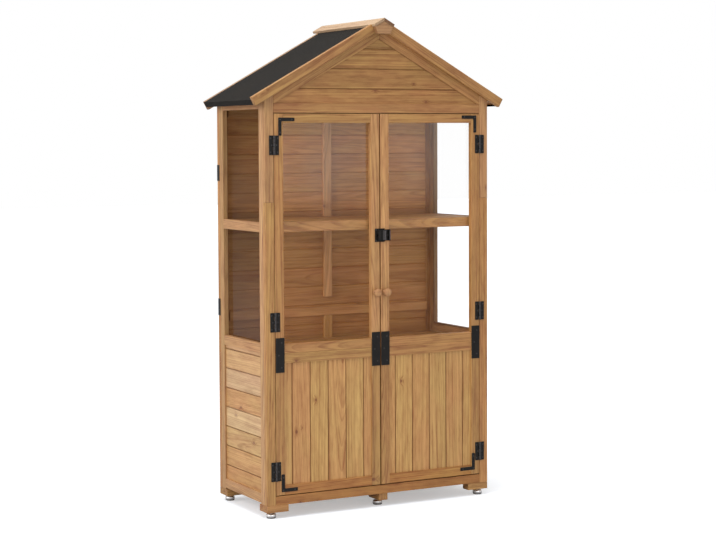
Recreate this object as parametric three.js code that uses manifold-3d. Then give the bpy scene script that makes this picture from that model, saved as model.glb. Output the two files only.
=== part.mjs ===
// Wooden mini greenhouse: a cabinet on feet, glazed above and boarded below, with two doors
// and a pitched roof. Millimetres; X runs across the front, Y from front to back and Z up.
// The origin is on the ground, under the middle of the cabinet.

import * as THREE from "three";
import { mergeVertices } from "three/addons/utils/BufferGeometryUtils.js";
import Module from "manifold-3d";

const wasm = await Module();
wasm.setup();

// Overall sizes
const cabinetWidth = 1000;
const cabinetDepth = 445;
const eaveLevel = 1624.3; // where the roof deck lies on the outer edge of a post
const roofPitch = THREE.MathUtils.degToRad(29);
const eaveOverhang = 63.3;

// Timber, boards and sheet
const frameThickness = 20;
const postWidth = 37.5;
const sideStileWidth = 35;
const railWidth = 38;
const boardThickness = 12;
const boardPitch = 78.4;
const leastBoardWidth = 15;
const grooveWidth = 4;
const grooveDepth = 2;
const paneThickness = 3;

// Fits
const seam = 0.3; // gap left between pieces that touch
const overrun = 2; // how far joined shapes reach into each other, and cutters past a face
const mergeDistance = 0.001;
const doorHingeGap = 2;
const doorEndGap = 3;
const doorMeetingGap = 5;

// Levels of the cabinet above the ground
const glideHeight = 25;
const footHeight = 27;
const frontRailHeight = 35;
const sideRailLift = 5;
const doorSplitLevel = 638;
const midRailTopLevel = 1142;
const headerDrop = 27.3;
const headerHeight = 37;
const sideTopRailDrop = 49.3;
const postJointRise = 77; // above the middle rail
const postJointWidth = 1.2;

// Boards: how far their face lies behind the frame, and how far the first groove is from its edge
const sideBoardRecess = 7;
const gableBoardRecess = 5;
const backBoardRecess = 5;
const doorBoardRecess = 5.5;
const sideFirstBoard = 57;
const gableFirstBoard = 56;
const backFirstBoard = 54;
const leftDoorFirstBoard = 34;
const rightDoorFirstBoard = 30;

// Panes
const sidePaneLap = 6;
const doorPaneLap = 10;

// Back wall battens
const battenWidth = 36;
const battenThickness = 12;
const uprightBattenOffset = 15;
const lowBattenRise = 53; // above the sill
const battenBreak = 41; // between the low batten and the upper upright one
const headBattenDrop = 12; // below the front header rail

// Doors
const doorStileWidth = 37.5;
const doorTopRailHeight = 35;
const doorSillRailHeight = 36;
const doorLowerRailHeight = 38;

// Shelves and floor
const shelfDrop = 1; // from the rail beside a shelf down to its top
const shelfSetback = 29;
const shelfRearGap = 29;
const shelfBearerWidth = 24;
const slatCount = 5;
const slatGap = 10;
const slatThickness = 12;
const floorBearerHeight = 23;
const floorBearerWidth = 38;

// Roof
const capThickness = 11;
const capHalfWidth = 46;
const capOverhang = 22.5;
const feltThickness = 2;
const feltDrop = 22;
const deckThickness = 12;
const bargeWidth = 37.5;
const bargeThickness = 20;
const rakeWidth = 46;
const apexBlockThickness = 20;
const apexBlockHeight = 62;
const apexBlockWidth = 78;
const apexBlockFootWidth = 57;

// Feet and glides
const cornerFootLength = 92;
const cornerFootDepth = 70;
const cornerFootInnerDepth = 43; // left where the foot's inner corner is cut off
const middleFootOffset = 12;
const middleFootWidth = 37.5;
const middleFootDepth = 90;
const middleFootSetback = 2;
const middleGlideSetback = 50;
const glideInset = 30;
const glidePadRadius = 18;
const glidePadHeight = 8;
const glideCupRadius = 19;
const glideCupHeight = 11;
const glideStemRadius = 5;

// Hinges
const hingeHeight = 75;
const topHingeDrop = 120.5; // below the door's top
const middleHingeRise = 121.5; // above the split in the door
const bottomHingeRise = 93; // above the door's bottom
const hingeLeafThickness = 2.3;
const hingeLeafReach = 21;
const hingeLeafGap = 4.5;
const barrelRadius = 4;
const barrelClearance = 0.3;
const pinRadius = 1.5;
const pinClearance = 0.4;
const knuckleCount = 5;
const knuckleGap = 0.4;

// Joining plates over the split in the door stiles
const joiningPlateDrop = 73; // below the split in the door
const joiningPlateHeight = 134;
const joiningPlateThickness = 2.5;

// Knobs
const knobRise = 179; // above the sill
const knobRadius = 17;
const knobLength = 30;
const knobNeckRadius = 9;
const knobNeckLength = 9;

// Latch
const latchDrop = 61.5; // below the middle rail's top
const latchHeight = 53;
const latchReach = 24;
const latchTail = 40;
const latchEdgeGap = 1.5;
const latchPlateThickness = 2.3;
const latchTailHeight = 44;
const latchHousingHeight = 40;
const latchHousingEnd = 15;
const latchGuideWidth = 5;
const boltRadius = 4;
const boltClearance = 0.6;
const boltWall = 2;
const keeperClearance = 1.5; // above and below the bolt
const boltSetback = 1.5;
const boltKnobRadius = 2;
const boltKnobLength = 6;
const boltKnobPlace = 32.5;

// Facets of round pieces
const smallSides = 16;
const roundSides = 28;
const knobSteps = 8;

// Places worked out from the sizes above
const half = seam / 2;
const sideOuter = cabinetWidth / 2;
const sideInner = sideOuter - frameThickness;
const postInner = sideOuter - postWidth;
const frontFace = -cabinetDepth / 2;
const frontInner = frontFace + frameThickness;
const backFace = cabinetDepth / 2;
const backInner = backFace - frameThickness;
const frameBottom = glideHeight + footHeight;
const frontRailTop = frameBottom + frontRailHeight;
const sillTopLevel = doorSplitLevel + railWidth;
const headerTop = eaveLevel - headerDrop;
const headerLevel = headerTop - headerHeight;
const doorBottom = frontRailTop + doorEndGap;
const doorTop = headerLevel - doorEndGap;
const doorOuter = postInner - doorHingeGap;
const doorInner = doorMeetingGap / 2;
const feltTopDepth = capThickness;
const deckTopDepth = feltTopDepth + feltThickness;
const deckUnderDepth = deckTopDepth + deckThickness;
const rakeUnderDepth = deckUnderDepth + rakeWidth;
const ridgeHeight = eaveLevel + sideOuter * Math.tan(roofPitch) + deckUnderDepth / Math.cos(roofPitch);
const roofSlopeLength = (sideOuter + eaveOverhang) / Math.cos(roofPitch);
const capSlopeLength = capHalfWidth / Math.cos(roofPitch);
const boardBackY = backFace - backBoardRecess - boardThickness;
const battenFaceY = boardBackY - battenThickness;
const sideTopRailLevel = eaveLevel - sideTopRailDrop;
const latchLevel = midRailTopLevel - latchDrop;

const woodFinish = { color: 0xb0824e, roughness: 0.6, metalness: 0 };
const paleWoodFinish = { color: 0xc59c6a, roughness: 0.6, metalness: 0 };
const insideWoodFinish = { color: 0x9c7248, roughness: 0.65, metalness: 0 };
const clearFinish = { color: 0xe8efee, roughness: 0.05, metalness: 0, transparent: true, opacity: 0.25 };
const feltFinish = { color: 0x3e3c3c, roughness: 0.95, metalness: 0 };
const blackMetalFinish = { color: 0x2a282a, roughness: 0.45, metalness: 0.6 };

// Solids

function solidOf(geometry) {
  geometry.deleteAttribute("normal");
  geometry.deleteAttribute("uv");
  const merged = mergeVertices(geometry, mergeDistance);
  return new wasm.Manifold(
    new wasm.Mesh({
      numProp: 3,
      vertProperties: merged.attributes.position.array,
      triVerts: new Uint32Array(merged.index.array),
    }),
  );
}

function geometryOf(solid) {
  const mesh = solid.getMesh();
  const geometry = new THREE.BufferGeometry();
  geometry.setAttribute("position", new THREE.BufferAttribute(mesh.vertProperties, 3));
  geometry.setIndex(new THREE.BufferAttribute(mesh.triVerts, 1));
  const flat = geometry.toNonIndexed();
  flat.computeVertexNormals();
  return flat;
}

function joined(solids) {
  return solids.reduce((whole, piece) => whole.add(piece));
}

// A box between two faces on each axis, drawn in by half a seam on every side.
function block(xFaces, yFaces, zFaces) {
  const low = [xFaces, yFaces, zFaces].map((faces) => Math.min(...faces) + half);
  const high = [xFaces, yFaces, zFaces].map((faces) => Math.max(...faces) - half);
  const size = high.map((value, axis) => value - low[axis]);
  const box = new THREE.BoxGeometry(...size);
  return solidOf(box.translate(...low.map((value, axis) => value + size[axis] / 2)));
}

function extruded(outline, length) {
  const shape = new THREE.Shape(outline.map(([u, v]) => new THREE.Vector2(u, v)));
  return new THREE.ExtrudeGeometry(shape, { depth: length, bevelEnabled: false });
}

// Prisms over an outline, between two faces on the third axis, drawn in by half a seam there.
function prismAlongX(outline, from, to) {
  const turn = new THREE.Matrix4().makeBasis(
    new THREE.Vector3(0, 1, 0),
    new THREE.Vector3(0, 0, 1),
    new THREE.Vector3(1, 0, 0),
  );
  return solidOf(extruded(outline, to - from - seam).applyMatrix4(turn).translate(from + half, 0, 0));
}

function prismAlongY(outline, from, to) {
  return solidOf(extruded(outline, to - from - seam).rotateX(Math.PI / 2).translate(0, to - half, 0));
}

function prismAlongZ(outline, from, to) {
  return solidOf(extruded(outline, to - from - seam).translate(0, 0, from + half));
}

function uprightRod(x, y, radius, from, to, sides) {
  const rod = new THREE.CylinderGeometry(radius, radius, to - from, sides).rotateX(Math.PI / 2);
  return solidOf(rod.translate(x, y, (from + to) / 2));
}

function levelRod(y, z, radius, from, to, sides) {
  const rod = new THREE.CylinderGeometry(radius, radius, to - from, sides).rotateZ(Math.PI / 2);
  return solidOf(rod.translate((from + to) / 2, y, z));
}

// Boards

// Where grooves fall between two edges, a board apart, with no sliver at either edge.
function grooveLines(first, from, to) {
  const lines = [];
  const least = from + leastBoardWidth;
  const start = first - Math.floor((first - least) / boardPitch) * boardPitch;
  for (let line = start; line < to - leastBoardWidth; line += boardPitch) lines.push(line);
  return lines;
}

// The cross-section of a row of boards as [along, across] points, grooved on both faces.
function boardOutline(from, to, lines, face, back) {
  const inward = Math.sign(back - face);
  const notch = (line, level, depth, direction) => [
    [line - (direction * grooveWidth) / 2, level],
    [line, level + depth],
    [line + (direction * grooveWidth) / 2, level],
  ];
  const outer = lines.flatMap((line) => notch(line, face, inward * grooveDepth, 1));
  const inner = [...lines].reverse().flatMap((line) => notch(line, back, -inward * grooveDepth, -1));
  return [[from, face], ...outer, [to, face], [to, back], ...inner, [from, back]];
}

const swapped = (outline) => outline.map(([u, v]) => [v, u]);

// Roof lines

// The level of a line under the roof's top line, at a distance from the middle and a square depth.
function roofLevel(x, depth) {
  return ridgeHeight - Math.tan(roofPitch) * Math.abs(x) - depth / Math.cos(roofPitch);
}

// A point on one slope: run down the slope from the ridge, depth square to it.
function slopePoint(side, run, depth) {
  const x = run * Math.cos(roofPitch) - depth * Math.sin(roofPitch);
  const z = ridgeHeight - run * Math.sin(roofPitch) - depth * Math.cos(roofPitch);
  return [side * x, z];
}

// The point at a depth where one slope meets the upright plane through the ridge.
function ridgePoint(side, depth) {
  return [side * half, roofLevel(half, depth)];
}

function gabledOutline(halfWidth, bottom, depth) {
  return [
    [-halfWidth, bottom],
    [halfWidth, bottom],
    [halfWidth, roofLevel(halfWidth, depth)],
    [0, roofLevel(0, depth)],
    [-halfWidth, roofLevel(halfWidth, depth)],
  ];
}

// The triangle between a level and the two sloping lines at a depth.
function gableTriangle(bottom, depth) {
  const halfWidth = (roofLevel(0, depth) - bottom) / Math.tan(roofPitch);
  return [
    [-halfWidth, bottom],
    [halfWidth, bottom],
    [0, roofLevel(0, depth)],
  ];
}

// An upright piece whose top is cut to the slope under the roof deck.
function underRoof(side, inner, outer, from, yFrom, yTo) {
  const outline = [
    [side * (inner + half), from + half],
    [side * (outer - half), from + half],
    [side * (outer - half), roofLevel(outer - half, deckUnderDepth + half)],
    [side * (inner + half), roofLevel(inner + half, deckUnderDepth + half)],
  ];
  return prismAlongY(outline, yFrom, yTo);
}

// Cabinet

function sideFrame(side) {
  const thickness = [side * sideInner, side * sideOuter];
  const rail = (top) => block(thickness, [frontInner, backInner], [top - railWidth, top]);
  return joined([
    underRoof(side, sideInner, sideOuter, frameBottom, frontInner, frontInner + sideStileWidth),
    underRoof(side, sideInner, sideOuter, frameBottom, backInner - sideStileWidth, backInner),
    underRoof(side, sideInner, sideOuter, sideTopRailLevel, frontInner, backInner),
    rail(frameBottom + sideRailLift + railWidth),
    rail(sillTopLevel),
    rail(midRailTopLevel),
  ]);
}

function sideBoards(side) {
  const bottom = frameBottom + sideRailLift + railWidth;
  const top = sillTopLevel - railWidth;
  const face = side * (sideOuter - sideBoardRecess);
  const lines = grooveLines(bottom + sideFirstBoard, bottom, top);
  const outline = boardOutline(bottom + half, top - half, lines, face, face - side * boardThickness);
  const run = backInner - sideStileWidth;
  return prismAlongY(swapped(outline), -run, run);
}

function sidePane(side) {
  const run = backInner - sideStileWidth + sidePaneLap;
  return block(
    [side * sideInner, side * (sideInner - paneThickness)],
    [-run, run],
    [sillTopLevel - sidePaneLap, sideTopRailLevel + sidePaneLap],
  );
}

function frontPost(side) {
  const post = underRoof(side, postInner, sideOuter, frameBottom, frontFace, frontInner);
  const jointLevel = midRailTopLevel + postJointRise;
  const joint = [jointLevel - postJointWidth / 2, jointLevel + postJointWidth / 2];
  const frontCut = block(
    [side * (postInner - overrun), side * (sideOuter + overrun)],
    [frontFace - overrun, frontFace + postJointWidth],
    joint,
  );
  const sideCut = block(
    [side * (sideOuter - postJointWidth), side * (sideOuter + overrun)],
    [frontFace - overrun, frontInner + overrun],
    joint,
  );
  return post.subtract(frontCut).subtract(sideCut);
}

function backFrame() {
  const outer = prismAlongY(
    gabledOutline(sideOuter - half, frameBottom + half, deckUnderDepth + half),
    backInner,
    backFace,
  );
  const opening = prismAlongY(
    gabledOutline(postInner + half, frameBottom + railWidth - half, rakeUnderDepth - half),
    backInner - overrun,
    backFace + overrun,
  );
  return outer.subtract(opening);
}

function backBoards() {
  const bottom = frameBottom + railWidth;
  const top = roofLevel(0, rakeUnderDepth);
  const outline = boardOutline(
    bottom + half,
    top,
    grooveLines(bottom + backFirstBoard, bottom, top),
    boardBackY + boardThickness,
    boardBackY,
  );
  const boards = prismAlongX(swapped(outline), -postInner, postInner);
  const shape = prismAlongY(
    gabledOutline(postInner - half, bottom + half, rakeUnderDepth + half),
    boardBackY - overrun,
    backFace + overrun,
  );
  const depth = [battenFaceY, boardBackY + overrun];
  const width = [-postInner, postInner];
  const upright = [-uprightBattenOffset - battenWidth / 2, battenWidth / 2 - uprightBattenOffset];
  const low = sillTopLevel + lowBattenRise;
  const head = headerLevel - headBattenDrop;
  return joined([
    boards.intersect(shape),
    block(width, depth, [low, low + battenWidth]),
    block(width, depth, [head, head + battenWidth]),
    block(upright, depth, [bottom, low + overrun]),
    block(upright, depth, [low + battenWidth + battenBreak, head + overrun]),
  ]);
}

function frontRail(from, to) {
  return block([-postInner, postInner], [frontFace, frontInner], [from, to]);
}

function gablePanel() {
  const face = frontFace + gableBoardRecess;
  const top = roofLevel(0, rakeUnderDepth - overrun);
  const outline = boardOutline(
    headerTop + half,
    top,
    grooveLines(headerTop + gableFirstBoard, headerTop, top),
    face,
    face + boardThickness,
  );
  const boards = prismAlongX(swapped(outline), -postInner, postInner);
  const shape = prismAlongY(
    gableTriangle(headerTop + half, rakeUnderDepth - overrun),
    frontFace,
    frontInner,
  );
  const outer = prismAlongY(
    gabledOutline(postInner - half, headerTop + half, deckUnderDepth + half),
    frontFace,
    frontInner,
  );
  const opening = prismAlongY(
    gableTriangle(headerTop - overrun, rakeUnderDepth),
    frontFace - overrun,
    frontInner + overrun,
  );
  return outer.subtract(opening).add(boards.intersect(shape));
}

function shelf(top) {
  const front = frontFace + shelfSetback;
  const back = backFace - shelfRearGap;
  const bottom = top - railWidth;
  const slatEnd = sideInner - paneThickness;
  const slatRun = back - front - frameThickness * 2;
  const slatWidth = (slatRun - slatGap * (slatCount + 1)) / slatCount;
  const rail = (from) => block([-sideInner, sideInner], [from, from + frameThickness], [bottom, top]);
  const bearer = (from) =>
    block(
      [from, from + shelfBearerWidth],
      [front + overrun, back - overrun],
      [bottom, top - slatThickness + overrun],
    );
  const slats = Array.from({ length: slatCount }, (_, place) => {
    const from = front + frameThickness + slatGap + place * (slatWidth + slatGap);
    return block([-slatEnd, slatEnd], [from, from + slatWidth], [top - slatThickness, top]);
  });
  const bearerPlaces = [-slatEnd, -shelfBearerWidth / 2, slatEnd - shelfBearerWidth];
  return joined([rail(front), rail(back - frameThickness), ...bearerPlaces.map(bearer), ...slats]);
}

function floorPanel() {
  const bottom = frameBottom + floorBearerHeight;
  const lines = grooveLines(frontInner + boardPitch, frontInner, backInner);
  const outline = boardOutline(
    frontInner + half,
    backInner - half,
    lines,
    bottom + boardThickness - half,
    bottom,
  );
  const bearer = (from) =>
    block([from, from + floorBearerWidth], [frontInner, backInner], [frameBottom, bottom + overrun]);
  const places = [-sideInner, -floorBearerWidth / 2, sideInner - floorBearerWidth];
  return joined([prismAlongX(outline, -sideInner, sideInner), ...places.map(bearer)]);
}

// Roof

function roofDeck(side) {
  const end = roofSlopeLength - feltThickness - half;
  const outline = [
    ridgePoint(side, deckTopDepth + half),
    slopePoint(side, end, deckTopDepth + half),
    slopePoint(side, end, deckUnderDepth - half),
    ridgePoint(side, deckUnderDepth - half),
  ];
  return prismAlongY(outline, frontFace, backFace);
}

// Felt lies on the deck and is turned down over its lower edge.
function roofFelt(side) {
  const outer = roofSlopeLength - half;
  const inner = roofSlopeLength - feltThickness + half;
  const outline = [
    ridgePoint(side, feltTopDepth + half),
    slopePoint(side, outer, feltTopDepth + half),
    slopePoint(side, outer, feltTopDepth + feltDrop),
    slopePoint(side, inner, feltTopDepth + feltDrop),
    slopePoint(side, inner, deckTopDepth - half),
    ridgePoint(side, deckTopDepth - half),
  ];
  return prismAlongY(outline, frontFace, backFace);
}

// A front barge board stands up past the felt, and is notched where the ridge cap lies over it.
function frontBargeBoard(side) {
  const outline = [
    ridgePoint(side, capThickness + half),
    slopePoint(side, capSlopeLength + half, capThickness + half),
    slopePoint(side, capSlopeLength + half, half),
    slopePoint(side, roofSlopeLength - half, half),
    slopePoint(side, roofSlopeLength - half, bargeWidth - half),
    ridgePoint(side, bargeWidth - half),
  ];
  return prismAlongY(outline, frontFace - bargeThickness, frontFace);
}

// A rear barge board is level with the felt.
function rearBargeBoard(side) {
  const top = feltTopDepth + half;
  const under = feltTopDepth + bargeWidth - half;
  const outline = [
    ridgePoint(side, top),
    slopePoint(side, roofSlopeLength - half, top),
    slopePoint(side, roofSlopeLength - half, under),
    ridgePoint(side, under),
  ];
  return prismAlongY(outline, backFace, backFace + bargeThickness);
}

function ridgeCap() {
  const top = half;
  const under = capThickness - half;
  const outline = [
    [0, roofLevel(0, top)],
    slopePoint(1, capSlopeLength - half, top),
    slopePoint(1, capSlopeLength - half, under),
    [0, roofLevel(0, under)],
    slopePoint(-1, capSlopeLength - half, under),
    slopePoint(-1, capSlopeLength - half, top),
  ];
  const reach = backFace + bargeThickness + capOverhang;
  return prismAlongY(outline, -reach, reach);
}

function apexBlock() {
  const shoulder = apexBlockWidth / 2;
  const foot = ridgeHeight - apexBlockHeight;
  const depth = capThickness + half;
  const outline = [
    [-apexBlockFootWidth / 2, foot],
    [apexBlockFootWidth / 2, foot],
    [shoulder, roofLevel(shoulder, depth)],
    [0, roofLevel(0, depth)],
    [-shoulder, roofLevel(shoulder, depth)],
  ];
  const back = frontFace - bargeThickness;
  return prismAlongY(outline, back - apexBlockThickness, back);
}

// Feet

function glide(x, y) {
  const cupTop = glidePadHeight + glideCupHeight;
  return joined([
    uprightRod(x, y, glidePadRadius, 0, glidePadHeight, roundSides),
    uprightRod(x, y, glideCupRadius, glidePadHeight - half, cupTop, roundSides),
    uprightRod(x, y, glideStemRadius, cupTop - overrun, glideHeight + overrun, smallSides),
  ]);
}

// A block whose inner corner is cut off at 45 degrees.
function cornerFoot(side, end) {
  const inner = sideOuter - cornerFootLength;
  const deep = backFace - cornerFootDepth;
  const shallow = backFace - cornerFootInnerDepth;
  const outline = [
    [sideOuter - half, backFace - half],
    [inner + half, backFace - half],
    [inner + half, shallow],
    [inner + shallow - deep, deep + half],
    [sideOuter - half, deep + half],
  ];
  const foot = prismAlongZ(
    outline.map(([x, y]) => [side * x, end * y]),
    glideHeight,
    frameBottom,
  );
  return foot.add(glide(side * (sideOuter - glideInset), end * (backFace - glideInset)));
}

function middleFoot() {
  const front = frontFace + middleFootSetback;
  const foot = block(
    [middleFootOffset - middleFootWidth / 2, middleFootOffset + middleFootWidth / 2],
    [front, front + middleFootDepth],
    [glideHeight, frameBottom],
  );
  return foot.add(glide(middleFootOffset, front + middleGlideSetback));
}

// Doors

// A door frame of two stiles and two rails around one opening, between two levels.
function doorFrame(side, bottom, top, bottomRail, topRail) {
  const depth = [frontFace, frontInner];
  const width = [side * doorInner, side * doorOuter];
  return joined([
    block([side * doorInner, side * (doorInner + doorStileWidth)], depth, [bottom, top]),
    block([side * (doorOuter - doorStileWidth), side * doorOuter], depth, [bottom, top]),
    block(width, depth, [bottom, bottom + bottomRail]),
    block(width, depth, [top - topRail, top]),
  ]);
}

function doorPane(side) {
  return block(
    [
      side * (doorInner + doorStileWidth - doorPaneLap),
      side * (doorOuter - doorStileWidth + doorPaneLap),
    ],
    [frontInner, frontInner + paneThickness],
    [
      doorSplitLevel + doorSillRailHeight - doorPaneLap,
      doorTop - doorTopRailHeight + doorPaneLap,
    ],
  );
}

function doorBoards(side, firstBoard) {
  const inner = doorInner + doorStileWidth;
  const outer = doorOuter - doorStileWidth;
  const face = frontFace + doorBoardRecess;
  const lines = grooveLines(inner + firstBoard, inner, outer);
  const outline = boardOutline(inner + half, outer - half, lines, face, face + boardThickness);
  return prismAlongZ(
    outline.map(([x, y]) => [side * x, y]),
    doorBottom + doorLowerRailHeight,
    doorSplitLevel - doorLowerRailHeight,
  );
}

// One leaf of a butt hinge. The post's leaf has the odd knuckles and the pin, the door's leaf
// has the even knuckles, bored to turn on it.
function hingeLeaf(side, level, onPost) {
  const axisX = side * (postInner - doorHingeGap / 2);
  const axisY = frontFace - barrelClearance - barrelRadius;
  const away = onPost ? side : -side;
  const bottom = level - hingeHeight / 2;
  const depth = [frontFace - hingeLeafThickness, frontFace];
  const knuckleLength = hingeHeight / knuckleCount;
  const plate = block(
    [axisX + away * hingeLeafGap, axisX + away * hingeLeafReach],
    depth,
    [bottom, bottom + hingeHeight],
  );
  const pieces = [plate];
  for (let place = onPost ? 0 : 1; place < knuckleCount; place += 2) {
    const from = bottom + place * knuckleLength + knuckleGap / 2;
    const to = from + knuckleLength - knuckleGap;
    pieces.push(uprightRod(axisX, axisY, barrelRadius, from, to, smallSides));
    pieces.push(block([axisX, axisX + away * (hingeLeafGap + overrun)], depth, [from, to]));
  }
  if (onPost) {
    const pin = uprightRod(axisX, axisY, pinRadius, bottom + half, bottom + hingeHeight - half, smallSides);
    return joined([...pieces, pin]);
  }
  const bore = pinRadius + pinClearance;
  const boreEnd = bottom + hingeHeight + overrun;
  return joined(pieces).subtract(uprightRod(axisX, axisY, bore, bottom - overrun, boreEnd, smallSides));
}

function joiningPlate(from, to) {
  return block(
    [from, to],
    [frontFace - joiningPlateThickness, frontFace],
    [doorSplitLevel - joiningPlateDrop, doorSplitLevel - joiningPlateDrop + joiningPlateHeight],
  );
}

// A turned knob: a short neck that swells into a flattened ball.
function knob(side) {
  const ballStart = knobNeckLength;
  const ballHalf = (knobLength - ballStart) / 2;
  const profile = [
    new THREE.Vector2(0, half),
    new THREE.Vector2(knobNeckRadius, half),
  ];
  const startTurn = Math.asin(knobNeckRadius / knobRadius);
  for (let step = 0; step <= knobSteps; step += 1) {
    const turn = startTurn + ((Math.PI - startTurn) * step) / knobSteps;
    const radius = step === knobSteps ? 0 : knobRadius * Math.sin(turn);
    profile.push(new THREE.Vector2(radius, ballStart + ballHalf - ballHalf * Math.cos(turn)));
  }
  const turned = new THREE.LatheGeometry(profile, roundSides).rotateX(Math.PI);
  const middle = side * (doorInner + doorStileWidth / 2);
  return solidOf(turned.translate(middle, frontFace, sillTopLevel + knobRise));
}

// Latch

const boltY = frontFace - latchPlateThickness - boltClearance - boltRadius;
const boltBore = boltRadius + boltClearance;
const latchFront = boltY - boltBore - boltWall;
const latchEdge = latchEdgeGap / 2;

function levels(height) {
  return [latchLevel - height / 2, latchLevel + height / 2];
}

// The keeper on the left door: a plate with a square-holed housing that the bolt slides into.
function latchKeeper() {
  const plateDepth = [frontFace - latchPlateThickness, frontFace];
  const plate = block([-latchReach, -latchEdge], plateDepth, levels(latchHeight));
  const housing = block(
    [-latchHousingEnd, -latchEdge],
    [latchFront, frontFace],
    levels(latchHousingHeight),
  );
  const slot = block(
    [-latchHousingEnd - overrun, overrun],
    [boltY - boltBore, frontFace - latchPlateThickness + seam],
    levels((boltRadius + keeperClearance) * 2),
  );
  return plate.add(housing).subtract(slot);
}

// The base on the right door: a plate, a housing at the meeting edge and a guide at the tail.
function latchBase() {
  const plateDepth = [frontFace - latchPlateThickness, frontFace];
  const raisedDepth = [latchFront, frontFace];
  const guide = (from, height) =>
    block([from, from + latchGuideWidth], raisedDepth, levels(height));
  const solid = joined([
    block([latchEdge, latchHousingEnd + latchGuideWidth], plateDepth, levels(latchHeight)),
    block([latchHousingEnd, latchTail], plateDepth, levels(latchTailHeight)),
    block([latchEdge, latchHousingEnd], raisedDepth, levels(latchHousingHeight)),
    guide(latchHousingEnd - seam, latchTailHeight),
    guide(latchTail - latchGuideWidth, latchTailHeight),
  ]);
  const bore = levelRod(boltY, latchLevel, boltBore, -overrun, latchTail + overrun, smallSides);
  return solid.subtract(bore);
}

// The bolt, drawn back so that both doors are free, with a small knob to slide it.
function latchBolt() {
  const bolt = levelRod(boltY, latchLevel, boltRadius, boltSetback, latchTail - half, smallSides);
  const knobEnd = latchFront - boltKnobLength;
  const stalk = new THREE.CylinderGeometry(boltKnobRadius, boltKnobRadius, boltY - knobEnd, smallSides);
  return bolt.add(solidOf(stalk.translate(boltKnobPlace, (boltY + knobEnd) / 2, latchLevel)));
}

// Assembly

const greenhouse = new THREE.Group();

function addPiece(name, solid, finish) {
  const mesh = new THREE.Mesh(geometryOf(solid), new THREE.MeshStandardMaterial(finish));
  mesh.name = name;
  greenhouse.add(mesh);
}

const sides = { left: -1, right: 1 };
const ends = { front: -1, rear: 1 };

function addCabinet() {
  for (const [name, side] of Object.entries(sides)) {
    addPiece(`${name}_side_frame`, sideFrame(side), woodFinish);
    addPiece(`${name}_side_boards`, sideBoards(side), paleWoodFinish);
    addPiece(`${name}_side_pane`, sidePane(side), clearFinish);
    addPiece(`${name}_front_post`, frontPost(side), woodFinish);
  }
  addPiece("back_frame", backFrame(), woodFinish);
  addPiece("back_boards", backBoards(), insideWoodFinish);
  addPiece("front_bottom_rail", frontRail(frameBottom, frontRailTop), woodFinish);
  addPiece("front_header_rail", frontRail(headerLevel, headerTop), woodFinish);
  addPiece("front_gable_panel", gablePanel(), woodFinish);
  addPiece("upper_shelf", shelf(midRailTopLevel - shelfDrop), woodFinish);
  addPiece("middle_shelf", shelf(doorSplitLevel - shelfDrop), woodFinish);
  addPiece("floor_panel", floorPanel(), insideWoodFinish);
}

function addRoof() {
  for (const [name, side] of Object.entries(sides)) {
    addPiece(`${name}_roof_deck`, roofDeck(side), insideWoodFinish);
    addPiece(`${name}_roof_felt`, roofFelt(side), feltFinish);
    addPiece(`front_${name}_barge_board`, frontBargeBoard(side), woodFinish);
    addPiece(`rear_${name}_barge_board`, rearBargeBoard(side), woodFinish);
  }
  addPiece("ridge_cap", ridgeCap(), paleWoodFinish);
  addPiece("apex_block", apexBlock(), woodFinish);
}

function addFeet() {
  for (const [name, side] of Object.entries(sides)) {
    for (const [endName, end] of Object.entries(ends)) {
      addPiece(`${endName}_${name}_foot`, cornerFoot(side, end), woodFinish);
    }
  }
  addPiece("front_middle_foot", middleFoot(), woodFinish);
}

const hingeLevels = {
  top: doorTop - topHingeDrop,
  middle: doorSplitLevel + middleHingeRise,
  bottom: doorBottom + bottomHingeRise,
};

function addDoor(name, side, firstBoard) {
  const upper = doorFrame(side, doorSplitLevel, doorTop, doorSillRailHeight, doorTopRailHeight);
  const lower = doorFrame(side, doorBottom, doorSplitLevel, doorLowerRailHeight, doorLowerRailHeight);
  addPiece(`${name}_door_upper_frame`, upper, woodFinish);
  addPiece(`${name}_door_lower_frame`, lower, woodFinish);
  addPiece(`${name}_door_pane`, doorPane(side), clearFinish);
  addPiece(`${name}_door_boards`, doorBoards(side, firstBoard), paleWoodFinish);
  addPiece(`${name}_door_knob`, knob(side), woodFinish);
  const innerPlate = joiningPlate(side * doorInner, side * (doorInner + doorStileWidth));
  const outerPlate = joiningPlate(side * (doorOuter - doorStileWidth), side * doorOuter);
  addPiece(`${name}_door_inner_plate`, innerPlate, blackMetalFinish);
  addPiece(`${name}_door_outer_plate`, outerPlate, blackMetalFinish);
  for (const [place, level] of Object.entries(hingeLevels)) {
    addPiece(`${name}_${place}_post_hinge_leaf`, hingeLeaf(side, level, true), blackMetalFinish);
    addPiece(`${name}_${place}_door_hinge_leaf`, hingeLeaf(side, level, false), blackMetalFinish);
  }
}

function addLatch() {
  addPiece("latch_keeper", latchKeeper(), blackMetalFinish);
  addPiece("latch_base", latchBase(), blackMetalFinish);
  addPiece("latch_bolt", latchBolt(), blackMetalFinish);
}

addCabinet();
addRoof();
addFeet();
addDoor("left", sides.left, leftDoorFirstBoard);
addDoor("right", sides.right, rightDoorFirstBoard);
addLatch();

export default greenhouse;
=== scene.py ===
import math
import random

import bmesh
import bpy
from mathutils import Matrix, Vector


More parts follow.
